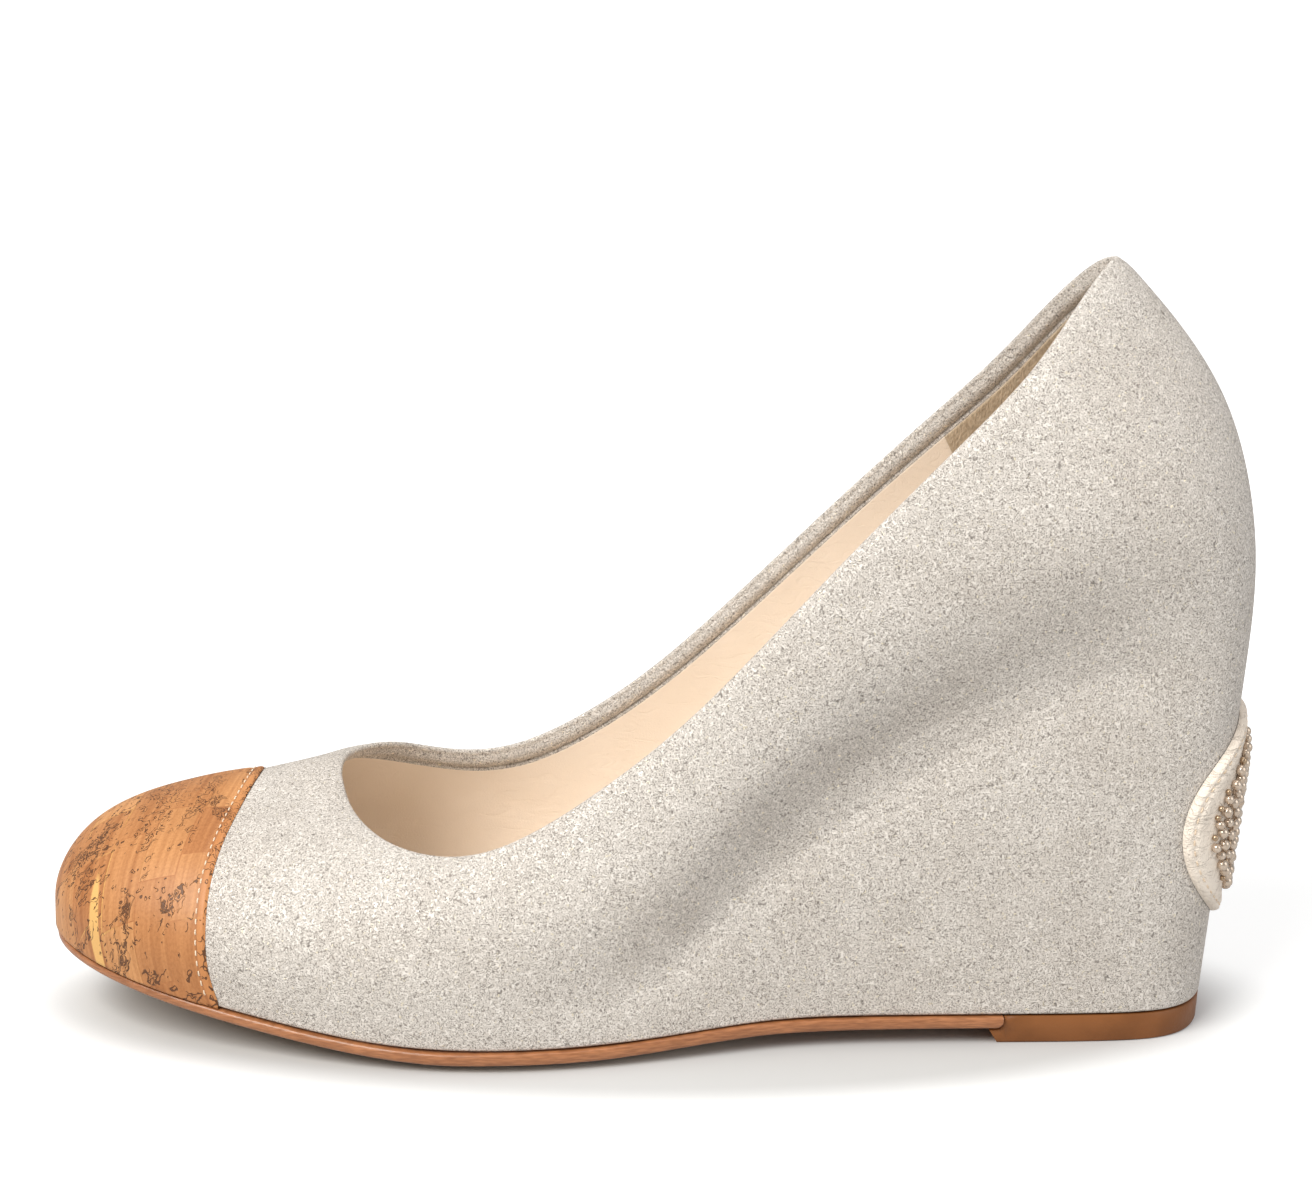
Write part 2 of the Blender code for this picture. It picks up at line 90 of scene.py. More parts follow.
# Ribs of one side, from the toe tip to the middle of the heel.
# Each pair or triple is: share of LENGTH from the toe, share of half BALL_WIDTH,
# share of BACK_HEIGHT. Swing moves a rib to the inner side, as a share of half
# BALL_WIDTH at the sole and at the topline. Rise lifts the inner topline.
Rib = namedtuple("Rib", "edge crease bulge shoulder top swing rise")
RIBS = (
    Rib((0.003, 0.000), (0.004, 0.000, 0.155), (0.030, 0.000, 0.227),
        (0.105, 0.000, 0.277), (0.243, 0.000, 0.324), (0.075, 0.120), 0.000),
    Rib((0.014, 0.260), (0.014, 0.275, 0.153), (0.041, 0.240, 0.225),
        (0.112, 0.143, 0.275), (0.244, 0.085, 0.317), (0.072, 0.120), 0.010),
    Rib((0.048, 0.490), (0.046, 0.520, 0.146), (0.070, 0.460, 0.219),
        (0.132, 0.295, 0.267), (0.248, 0.180, 0.308), (0.068, 0.110), 0.020),
    Rib((0.108, 0.690), (0.106, 0.720, 0.126), (0.125, 0.655, 0.203),
        (0.175, 0.495, 0.257), (0.258, 0.308, 0.290), (0.060, 0.090), 0.038),
    Rib((0.196, 0.843), (0.196, 0.875, 0.102), (0.206, 0.833, 0.180),
        (0.238, 0.695, 0.235), (0.280, 0.495, 0.273), (0.038, 0.050), 0.049),
    Rib((0.302, 0.960), (0.302, 0.985, 0.081), (0.304, 0.960, 0.156),
        (0.308, 0.855, 0.215), (0.317, 0.670, 0.262), (0.005, 0.012), 0.042),
    Rib((0.409, 0.940), (0.408, 0.960, 0.074), (0.403, 0.955, 0.150),
        (0.393, 0.880, 0.217), (0.383, 0.755, 0.270), (-0.035, 0.000), 0.035),
    Rib((0.506, 0.805), (0.502, 0.805, 0.091), (0.489, 0.865, 0.189),
        (0.477, 0.825, 0.276), (0.467, 0.740, 0.344), (-0.057, 0.000), 0.028),
    Rib((0.602, 0.675), (0.588, 0.665, 0.235), (0.575, 0.790, 0.325),
        (0.562, 0.780, 0.402), (0.551, 0.728, 0.455), (-0.028, 0.000), 0.024),
    Rib((0.708, 0.623), (0.693, 0.625, 0.385), (0.678, 0.765, 0.483),
        (0.664, 0.765, 0.563), (0.651, 0.718, 0.622), (-0.008, 0.000), 0.008),
    Rib((0.804, 0.613), (0.796, 0.635, 0.474), (0.786, 0.770, 0.591),
        (0.765, 0.740, 0.691), (0.742, 0.665, 0.767), (0.000, 0.000), 0.000),
    Rib((0.879, 0.593), (0.885, 0.625, 0.518), (0.879, 0.730, 0.643),
        (0.849, 0.655, 0.776), (0.806, 0.530, 0.869), (0.000, 0.000), 0.000),
    Rib((0.938, 0.495), (0.964, 0.525, 0.500), (0.957, 0.565, 0.636),
        (0.916, 0.480, 0.804), (0.850, 0.320, 0.954), (0.000, 0.000), 0.000),
    Rib((0.963, 0.275), (0.989, 0.285, 0.469), (0.992, 0.295, 0.622),
        (0.960, 0.245, 0.810), (0.875, 0.150, 0.993), (0.000, 0.000), 0.000),
    Rib((0.970, 0.000), (0.995, 0.000, 0.448), (1.000, 0.000, 0.615),
        (0.974, 0.000, 0.813), (0.884, 0.000, 1.000), (0.000, 0.000), 0.000),
)
RISE_OF_LEVEL = (0.0, 0.0, 0.0, 0.1, 0.25, 1.0)

# Foot bed from the ball to the heel: share of LENGTH, share of HEEL_SEAT
FOOT_BED = (
    (0.000, 0.000), (0.200, 0.000), (0.390, 0.000), (0.450, 0.022), (0.506, 0.118),
    (0.558, 0.275), (0.615, 0.458), (0.681, 0.640), (0.747, 0.780), (0.813, 0.885),
    (0.879, 0.955), (0.945, 0.988), (1.000, 1.000),
)

# Sewn and rolled edges
RIM_RADIUS = UPPER_WALL / 2   # cloth rolled over the topline
RIM_BAND = 0.0046             # turned-in cloth below the roll
BAND_SEAM = 0.74              # seam line of the band, as a share of its width
BAND_SWELL = 0.0007
HEM_TUCK = 0.0006             # cloth that turns in above the sole
LINING_PROUD = 0.00035        # leather lining inside the turned cloth
GRIP_PROUD = 0.00045          # suede grip on the lining
GRIP_LEVEL = 0.012            # below the topline, where its front edge is set out
LINING_LAP = 0.0003
EDGE_LIFT = 0.0001            # thin edges stand off the cloth by this
CORK_RIM = 0.00045            # cork at its pared rear edge
CORK_FOOT = 0.0005            # cork where it meets the sole
TOE_AXIS = (0.004, -0.014)    # line that distances round the toe are turned about
TOE_RADIUS = 0.042
STITCH_INSET = 0.0017         # cap stitching ahead of the cork's edge
STITCH_PITCH = 0.0019
STITCH_LENGTH = 0.0013
STITCH_RADIUS = 0.00016
STITCH_SINK = 0.0003          # how deep the ends of a stitch go in
PATCH_STITCH_INSET = 0.0013
PATCH_STITCH_PITCH = 0.0021
PATCH_STITCH_LENGTH = 0.0014
PATCH_FLOOR = PATCH_CLEARANCE + PATCH_LEATHER
PATCH_MIDDLE = PATCH_MIDDLE_SHARE * BACK_HEIGHT
EVEN_BORDER = 0.0060          # border of the plate inside which its ovals narrow evenly

# Fineness of the meshes
COLUMNS_PER_RIB = 14
COVER_ROWS = 118
SHEET_COLUMNS = 8            # for each rib, in the lining, grip and sock
RIM_STEPS = 8
NUDGE = 0.00004              # step by which slopes of the skin are read
WRAP = 6                     # ribs repeated past each end of the way round
MERGE = 1e-6


def along(share):
    """X of a place given as a share of LENGTH from the toe."""
    return (share - 0.5) * LENGTH


def distance_along(line):
    """Distance from the first of a line of points to each of them."""
    steps = np.linalg.norm(np.diff(line, axis=0), axis=1)
    return np.concatenate([[0.0], np.cumsum(steps)])


def spline_points(knots, values, places):
    """Points of natural cubic splines. Knots, values and places have a row for each."""
    steps = np.diff(knots, axis=1)
    slopes = np.diff(values, axis=1) / steps[..., None]
    rows, count = knots.shape
    system = np.zeros((rows, count, count))
    system[:, 0, 0] = 1
    system[:, -1, -1] = 1
    right = np.zeros_like(values)
    for k in range(1, count - 1):
        system[:, k, k - 1] = steps[:, k - 1]
        system[:, k, k] = 2 * (steps[:, k - 1] + steps[:, k])
        system[:, k, k + 1] = steps[:, k]
        right[:, k] = 6 * (slopes[:, k] - slopes[:, k - 1])
    bends = np.linalg.solve(system, right)
    span = (places[:, :, None] >= knots[:, None, :]).sum(axis=2) - 1
    span = np.clip(span, 0, count - 2)
    row = np.arange(rows)[:, None]
    step = (knots[row, span + 1] - knots[row, span])[..., None]
    before = (places - knots[row, span])[..., None]
    after = step - before
    return ((bends[row, span] * after**3 + bends[row, span + 1] * before**3) / (6 * step)
            + (values[row, span] / step - bends[row, span] * step / 6) * after
            + (values[row, span + 1] / step - bends[row, span + 1] * step / 6) * before)


def toe_share(x):
    """Share of the way from the flat of the ball to the toe."""
    front = along(FLAT_FRONT_SHARE)
    return np.clip((front - x) / (front - along(0.0)), 0.0, None)


def waist_share(x):
    """Share of the way from the flat of the ball to the waist, eased at both ends."""
    back = along(FLAT_BACK_SHARE)
    share = np.clip((x - back) / (along(WAIST_START_SHARE) - back), 0, 1)
    return share**2 * (3 - 2 * share)


def sole_tread(x):
    """Height of the tread face, flat on the floor under the ball."""
    return (TOE_SPRING * toe_share(x)**SPRING_POWER
            + (LIFT_HEIGHT - WAIST_THICKNESS) * waist_share(x))


def sole_top(x):
    """Height of the outsole's upper face, with its toe spring and waist."""
    return (sole_tread(x) + SOLE_THICKNESS + (TOE_THICKNESS - SOLE_THICKNESS) * toe_share(x)
            + (WAIST_THICKNESS - SOLE_THICKNESS) * waist_share(x))


def edge_band(x):
    """Height of the outsole's upright edge."""
    return SOLE_EDGE + (TOE_EDGE - SOLE_EDGE) * toe_share(x)


def foot_bed(x):
    """Height of the insole's upper face."""
    shares = np.asarray(FOOT_BED)
    flat = np.ravel(np.asarray(x, float))
    rise = spline_points(along(shares[None, :, 0]), shares[None, :, 1:], flat[None, :])
    rise = np.clip(rise[0, :, 0], 0.0, None) * HEEL_SEAT
    return (sole_top(flat) + CLEARANCE + INSOLE_THICKNESS + rise).reshape(np.shape(x))


def rib_points(rib, side):
    """Six points of a rib, from the sole to the topline. Side is -1 outer, +1 inner."""
    rows = [(along(rib.edge[0]), rib.edge[1] * BALL_WIDTH / 2, 0.0)]
    for place, half, height in (rib.crease, rib.bulge, rib.shoulder, rib.top):
        rows.append((along(place), half * BALL_WIDTH / 2, height * BACK_HEIGHT))
    points = np.array(rows)
    points[0, 2] = sole_top(points[0, 0]) + CLEARANCE
    wall = points[0] + WALL_SHARE * (points[1] - points[0])
    points = np.insert(points, 1, wall, axis=0)
    swing = np.linspace(rib.swing[0], rib.swing[1], len(points)) * BALL_WIDTH / 2
    points[:, 1] = points[:, 1] * side + swing
    if side > 0:
        points[:, 2] += np.array(RISE_OF_LEVEL) * rib.rise * BACK_HEIGHT
    return points


def rib_cage():
    """Control points [rib][level], round the shoe from the toe over the outer side."""
    outer = [rib_points(rib, -1) for rib in RIBS]
    inner = [rib_points(rib, +1) for rib in RIBS[-2:0:-1]]
    return np.array(outer + inner)


CAGE = rib_cage()
STEPS = np.linalg.norm(np.diff(np.concatenate([CAGE, CAGE[:1]]), axis=0), axis=2).mean(axis=1)
ROUND = np.concatenate([[0.0], np.cumsum(STEPS)])   # distance round the shoe at each rib
TURN = ROUND[-1]
HEEL_PLACE = ROUND[len(RIBS) - 1]


def even_places(per_rib):
    """Places round the shoe of mesh columns, some between each two ribs."""
    count = len(CAGE) * per_rib
    return np.interp(np.arange(count) / per_rib, np.arange(len(ROUND)), ROUND)


def columns_at(places):
    """Six points of the column at each place round the shoe."""
    knots = np.concatenate([ROUND[-WRAP - 1:-1] - TURN, ROUND, ROUND[1:WRAP + 1] + TURN])
    order = np.arange(-WRAP, len(CAGE) + WRAP + 1) % len(CAGE)
    values = CAGE[order].reshape(1, len(order), -1)
    points = spline_points(knots[None, :], values, (np.asarray(places) % TURN)[None, :])
    return points.reshape(len(places), -1, 3)


def column_knots(columns):
    """Distance up each column at its six points."""
    steps = np.linalg.norm(np.diff(columns, axis=1), axis=2)
    return np.concatenate([np.zeros((len(columns), 1)), np.cumsum(steps, axis=1)], axis=1)


def full_length(places):
    """Distance up each column from the sole to the topline."""
    return column_knots(columns_at(places))[:, -1]


def unit(vectors):
    return vectors / np.linalg.norm(vectors, axis=-1, keepdims=True)


def skin(places, lengths):
    """Points, outward normals and upward tangents of the upper's outer face.

    Lengths has a row for each place, measured up its column from the sole.
    """
    columns = columns_at(places)
    knots = column_knots(columns)
    points = spline_points(knots, columns, lengths)
    share = lengths / knots[:, -1:]
    beside = []
    for shift in (-NUDGE, NUDGE):
        near = columns_at(places + shift)
        near_knots = column_knots(near)
        beside.append(spline_points(near_knots, near, share * near_knots[:, -1:]))
    above = spline_points(knots, columns, lengths + NUDGE)
    below = spline_points(knots, columns, lengths - NUDGE)
    up = unit(above - below)
    outward = unit(np.cross(beside[1] - beside[0], up))
    return points, outward, up


def out_from(places, lengths, outset):
    """Points over the outer face, moved out by outset."""
    points, outward, _ = skin(places, lengths)
    return points + outward * np.broadcast_to(outset, lengths.shape)[..., None]


def length_where(places, outset, over, samples=160):
    """Length up each column where over(points) first turns positive."""
    lengths = full_length(places)[:, None] * np.linspace(0, 1, samples)
    value = over(out_from(places, lengths, outset))
    found = np.zeros(len(places))
    for k, row in enumerate(value):
        j = int(np.argmax(row > 0))
        if j > 0:
            share = row[j - 1] / (row[j - 1] - row[j])
            found[k] = lengths[k, j - 1] + share * (lengths[k, j] - lengths[k, j - 1])
    return found


# Soft folds in the cloth: the bottom of the fold as shares of LENGTH and
# BACK_HEIGHT, its reach below and above, and its depth on the outer and inner side.
Fold = namedtuple("Fold", "line below above outer inner")
WEDGE_LINE = ((0.500, 0.070), (0.511, 0.094), (0.549, 0.160), (0.598, 0.238), (0.638, 0.287),
              (0.667, 0.325), (0.717, 0.377), (0.751, 0.406), (0.813, 0.449), (0.867, 0.478),
              (0.930, 0.500))
SWELL_LINE = ((0.520, 0.165), (0.570, 0.310), (0.640, 0.395), (0.720, 0.475), (0.780, 0.520),
              (0.840, 0.550))
FOLDS = (
    Fold(WEDGE_LINE, 0.0055, 0.0058, 0.00200, 0.00170),
    Fold(SWELL_LINE, 0.0060, 0.0060, -0.00045, -0.00035),
    Fold(((0.575, 0.150), (0.625, 0.215), (0.690, 0.270)), 0.0050, 0.0050, -0.00025, -0.00025),
    Fold(((0.455, 0.050), (0.500, 0.100), (0.520, 0.150)), 0.0040, 0.0050, 0.00018, 0.0),
)
FOLD_ROUND = 0.0009          # soft bottom of a fold
TOP_EASE = 0.0034            # height over which the cloth rounds in to the topline
TOP_EASE_DEPTH = 0.00045


def fold_relief(points):
    """How far the folds push the cloth in, negative, or out."""
    relief = np.zeros(points.shape[:-1])
    spot = points[..., [0, 2]]
    for fold in FOLDS:
        line = np.array([(along(share), height * BACK_HEIGHT) for share, height in fold.line])
        run = distance_along(line)
        nearest = np.full(spot.shape[:-1], np.inf)
        signed = np.zeros(spot.shape[:-1])
        place = np.zeros(spot.shape[:-1])
        for k in range(len(line) - 1):
            step_run = line[k + 1] - line[k]
            offset = spot - line[k]
            share = np.clip((offset @ step_run) / (step_run @ step_run), 0, 1)
            away = np.linalg.norm(offset - share[..., None] * step_run, axis=-1)
            above = offset[..., 1] * step_run[0] - offset[..., 0] * step_run[1]
            closer = away < nearest
            nearest = np.where(closer, away, nearest)
            signed = np.where(closer, np.sign(above) * away, signed)
            place = np.where(closer, (run[k] + share * (run[k + 1] - run[k])) / run[-1], place)
        reach = np.where(signed > 0, fold.above, fold.below)
        shape = np.exp((FOLD_ROUND - np.hypot(nearest, FOLD_ROUND)) / reach)
        depth = np.where(points[..., 1] < 0, fold.outer, fold.inner)
        relief -= depth * np.sin(np.pi * place)**0.7 * shape
    return relief


def grid_onto(shape, points, loop_columns, loop_rows):
    """Quads over a grid of points [column][row], added to a bmesh. Returns its corners."""
    corners = [[shape.verts.new(point) for point in column] for column in points]
    columns, rows = len(corners), len(corners[0])
    for k in range(columns if loop_columns else columns - 1):
        here, beside = corners[k], corners[(k + 1) % columns]
        for j in range(rows if loop_rows else rows - 1):
            after = (j + 1) % rows
            shape.faces.new((here[j], beside[j], beside[after], here[after]))
    return corners


def grid_mesh(points, loop_columns, loop_rows):
    """Quads over a grid of points [column][row]."""
    shape = bmesh.new()
    grid_onto(shape, points, loop_columns, loop_rows)
    return shape


def loft_mesh(*bodies):
    """Closed bodies, each through rings of points."""
    shape = bmesh.new()
    for rings in bodies:
        corners = grid_onto(shape, rings, False, True)
        shape.faces.new(corners[0][::-1])
        shape.faces.new(corners[-1])
    return shape


def link(name, data):
    """Object in the scene."""
    body = bpy.data.objects.new(name, data)
    bpy.context.scene.collection.objects.link(body)
    return body


def dress(name, mesh, surface, node):
    """Object of a mesh, shaded smooth, that stands for a node and rides on the shoe."""
    mesh.shade_smooth()
    mesh.materials.append(surface)
    body = link(name, mesh)
    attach(body, "root")
    if node:
        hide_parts(node)


def piece(name, shape, surface, node):
    """The same of a bmesh, which is cleaned first. Returns the mesh and its points."""
    bmesh.ops.remove_doubles(shape, verts=shape.verts, dist=MERGE)
    bmesh.ops.dissolve_degenerate(shape, dist=MERGE, edges=shape.edges)
    bmesh.ops.recalc_face_normals(shape, faces=shape.faces)
    mesh = bpy.data.meshes.new(name)
    shape.to_mesh(mesh)
    shape.free()
    dress(name, mesh, surface, node)
    return mesh, np.array([vertex.co for vertex in mesh.vertices])


def store(mesh, name, kind, field, values):
    """Attribute with a value for each point of a mesh."""
    mesh.attributes.new(name, kind, "POINT").data.foreach_set(field, np.ravel(values))


# Shader nodes

def feed(tree, node, inputs):
    """A node, with values or output sockets put into its inputs by name or number."""
    for key, value in inputs.items():
        if isinstance(value, bpy.types.NodeSocket):
            tree.links.new(value, node.inputs[key])
        else:
            node.inputs[key].default_value = value
    return node


def add(tree, kind, inputs=None, **settings):
    """New node of a kind."""
    node = tree.nodes.new("ShaderNode" + kind)
    for name, value in settings.items():
        setattr(node, name, value)
    return feed(tree, node, inputs or {})


def math(tree, operation, *values):
    """Output of a Math node."""
    return add(tree, "Math", dict(enumerate(values)), operation=operation).outputs[0]


def times(tree, first, second):
    return math(tree, "MULTIPLY", first, second)


def off_middle(tree, value):
    """How far a noise is from its middle value."""
    return math(tree, "ABSOLUTE", math(tree, "SUBTRACT", value, 0.5))


def vectors(tree, operation, *values):
    """Vector Math node."""
    return add(tree, "VectorMath", dict(enumerate(values)), operation=operation)


def stretch(tree, place, factors):
    """Place scaled along each axis."""
    return vectors(tree, "MULTIPLY", place, factors).outputs[0]


def step(tree, value, low, high):
    """A value eased from 0 to 1 between low and high."""
    inputs = {"Value": value, "From Min": low, "From Max": high}
    return add(tree, "MapRange", inputs, interpolation_type="SMOOTHSTEP").outputs[0]


def mix(tree, factor, first, second, blend="MIX"):
    """Colour between two colours, each a socket or its red, green and blue."""
    first, second = [(*tone, 1.0) if isinstance(tone, tuple) else tone
                     for tone in (first, second)]
    return add(tree, "Mix", {0: factor, 6: first, 7: second}, data_type="RGBA",
               blend_type=blend).outputs[2]


def darken(tree, tone, value, low, high, by):
    """Tone times a colour where a value has gone from low to high."""
    return mix(tree, step(tree, value, low, high), tone, by, "MULTIPLY")


def noise(tree, place, scale, detail=2.0, output=0):
    """Value or colour of a noise texture."""
    return add(tree, "TexNoise", {"Vector": place, "Scale": scale,
                                  "Detail": detail}).outputs[output]


def shake(tree, place, scale):
    """Place drawn away from or to the origin by a noise of that scale."""
    centred = vectors(tree, "SUBTRACT", noise(tree, place, scale, output=1), (0.5,) * 3)
    return vectors(tree, "MULTIPLY_ADD", centred.outputs[0], place, place).outputs[0]


def picked(tree, cells, share):
    """Mask of a share of the cells of a Voronoi texture, by their random colour."""
    red = add(tree, "SeparateColor", {0: cells.outputs["Color"]}).outputs[0]
    return math(tree, "GREATER_THAN", red, 1 - share)


def bump(tree, height, distance, strength=1.0):
    """Normal of a bumpy surface."""
    return add(tree, "Bump", {"Height": height, "Distance": distance,
                              "Strength": strength}).outputs[0]


def new_group(name, numbers, results):
    """Empty node group. Its inputs are a place and numbers, given with usual values."""
    tree = bpy.data.node_groups.new(name, "ShaderNodeTree")
    face = tree.interface
    face.new_socket("Place", in_out="INPUT", socket_type="NodeSocketVector")
    for title, value in numbers.items():
        socket = face.new_socket(title, in_out="INPUT", socket_type="NodeSocketFloat")
        socket.default_value = value
    for title in results:
        face.new_socket(title, in_out="OUTPUT", socket_type="NodeSocketFloat")
    return tree, tree.nodes.new("NodeGroupInput").outputs, tree.nodes.new("NodeGroupOutput")


def worm_grain():
    """Short curled threads with gaps between them, as on crackled suede cloth."""
    tree, given, result = new_group("worm grain", {"Threads": 2000.0, "Softness": 0.10},
                                    ("Thread", "Gap", "Height"))
    wide = given["Softness"]

    def curl(shift, scale):
        moved = vectors(tree, "ADD", given["Place"], (shift, -shift, shift)).outputs[0]
        return off_middle(tree, noise(tree, moved, times(tree, given["Threads"], scale), 0.0))

    thread = step(tree, curl(0.31, 1.0), wide, 0.02)
    gap = times(tree, step(tree, curl(0.0, 0.95), times(tree, wide, 0.8), 0.01),
                math(tree, "SUBTRACT", 1.0, thread))
    feed(tree, result, {"Thread": thread, "Gap": gap,
                        "Height": math(tree, "SUBTRACT", thread, gap)})
    return tree


def leather_grain():
    """Fine pebbles, pores and faint creases of smooth leather."""
    tree, given, result = new_group("leather grain", {"Pebbles": 1500.0, "Creases": 90.0},
                                    ("Height", "Cloud"))
    place = given["Place"]
    cells = add(tree, "TexVoronoi", {"Vector": place, "Scale": given["Pebbles"]},
                feature="DISTANCE_TO_EDGE").outputs["Distance"]
    long = stretch(tree, place, (1.0, 1.0, 2.6))
    folds = noise(tree, shake(tree, long, 60.0), given["Creases"], 3.0)
    height = math(tree, "ADD", times(tree, step(tree, cells, 0.0, 0.35), 0.35),
                  times(tree, step(tree, off_middle(tree, folds), 0.0, 0.05), 0.65))
    feed(tree, result, {"Height": height, "Cloud": noise(tree, place, 45.0, 3.0)})
    return tree


WORM_GRAIN = worm_grain()
LEATHER_GRAIN = leather_grain()


def new_surface(name, roughness, **sockets):
    """Material, its tree, its shader and the place on the object. Sockets are constants."""
    surface = bpy.data.materials.new(name)
    surface.use_nodes = True
    tree = surface.node_tree
    shader = tree.nodes["Principled BSDF"]
    shader.inputs["Roughness"].default_value = roughness
    for title, value in sockets.items():
        shader.inputs[title.replace("_", " ")].default_value = value
    return surface, tree, shader, add(tree, "TexCoord").outputs["Object"]


CLOTH_BASE = (0.600, 0.550, 0.500)
CLOTH_GAP = (0.290, 0.258, 0.228)
CLOTH_THREAD = (0.820, 0.770, 0.715)
CLOTH_SPECK = (0.160, 0.139, 0.121)
CLOTH_GOLD = (0.900, 0.810, 0.640)
GLITTER = 0.03               # share of the flakes that shine


def crackled_cloth():
    """Silver-grey suede cloth with a crackled metallic face."""
    surface, tree, shader, place = new_surface("crackled cloth", 0.5, Specular_IOR_Level=0.4)
    worms = add(tree, "Group", {"Place": place, "Threads": 2000.0, "Softness": 0.10},
                node_tree=WORM_GRAIN).outputs
    thread = worms["Thread"]
    specks = step(tree, noise(tree, place, 1300.0, 1.0), 0.66, 0.74)
    tone = mix(tree, thread, CLOTH_BASE, CLOTH_THREAD)
    tone = mix(tree, worms["Gap"], tone, CLOTH_GAP)
    tone = mix(tree, times(tree, specks, 0.7), tone, CLOTH_SPECK)
    tone = darken(tree, tone, noise(tree, place, 60.0, 3.0), 0.35, 0.7, (0.93, 0.92, 0.91))
    flakes = add(tree, "TexVoronoi", {"Vector": place, "Scale": 2200.0})
    shiny = times(tree, picked(tree, flakes, GLITTER), thread)
    feed(tree, shader, {
        "Base Color": mix(tree, shiny, tone, CLOTH_GOLD),
        "Metallic": math(tree, "ADD", times(tree, thread, 0.22), times(tree, shiny, 0.68)),
        "Roughness": math(tree, "SUBTRACT", 0.62, times(tree, shiny, 0.30)),
        "Normal": bump(tree, worms["Height"], 0.00007, 0.8)})
    return surface


def smooth_leather(name, light, deep, roughness, pebbles, creases, relief):
    """Smooth leather with clouds of tone, fine grain and faint creases."""
    surface, tree, shader, place = new_surface(name, roughness, Specular_IOR_Level=0.45)
    grain = add(tree, "Group", {"Place": place, "Pebbles": pebbles, "Creases": creases},
                node_tree=LEATHER_GRAIN).outputs
    feed(tree, shader, {
        "Base Color": mix(tree, step(tree, grain["Cloud"], 0.3, 0.7), deep, light),
        "Normal": bump(tree, grain["Height"], relief)})
    return surface


def grip_suede():
    """Brushed beige suede."""
    surface, tree, shader, place = new_surface("grip suede", 0.9, Sheen_Weight=0.35,
                                               Sheen_Roughness=0.5)
    nap = noise(tree, stretch(tree, place, (1.0, 1.0, 0.3)), 2600.0, 3.0)
    tone = mix(tree, step(tree, nap, 0.3, 0.7), (0.44, 0.335, 0.225), (0.62, 0.49, 0.345))
    tone = darken(tree, tone, noise(tree, place, 110.0, 3.0), 0.35, 0.65, (0.86, 0.84, 0.82))
    feed(tree, shader, {"Base Color": tone, "Normal": bump(tree, nap, 0.0003)})
    return surface


CORK_WARM = (0.465, 0.190, 0.066)
CORK_PALE = (0.660, 0.325, 0.130)
CORK_DEEP = (0.330, 0.122, 0.042)
CORK_EDGE = (0.600, 0.250, 0.085)
CORK_YELLOW = (0.800, 0.470, 0.155)
CORK_PIT = (0.085, 0.031, 0.011)
CORK_BLOCKS = {"Color1": (0, 0, 0, 1), "Color2": (1, 1, 1, 1), "Scale": 1.0,
               "Mortar Size": 0.00012, "Mortar Smooth": 0.4, "Bias": 0.0,
               "Brick Width": 0.0145, "Row Height": 0.0069}
SLIVER_AHEAD = 0.0225        # middle of the golden sliver, ahead of the seam
SLIVER_TURN = 0.0385         # and round the toe


def cork_marks(tree, place, factors, scale, size, share):
    """Mask of scattered dark dashes, long along the axis with the smaller factor."""
    holes = add(tree, "TexVoronoi", {"Vector": stretch(tree, place, factors), "Scale": scale},
                voronoi_dimensions="2D")
    near = step(tree, holes.outputs["Distance"], size * 1.5, size)
    return times(tree, near, picked(tree, holes, share))


def cork_squiggles(tree, place, scale, width, where):
    """Mask of curled cracks inside the places of another mask."""
    line = off_middle(tree, noise(tree, place, scale, 0.0))
    return times(tree, step(tree, line, width * 2.0, width), where)


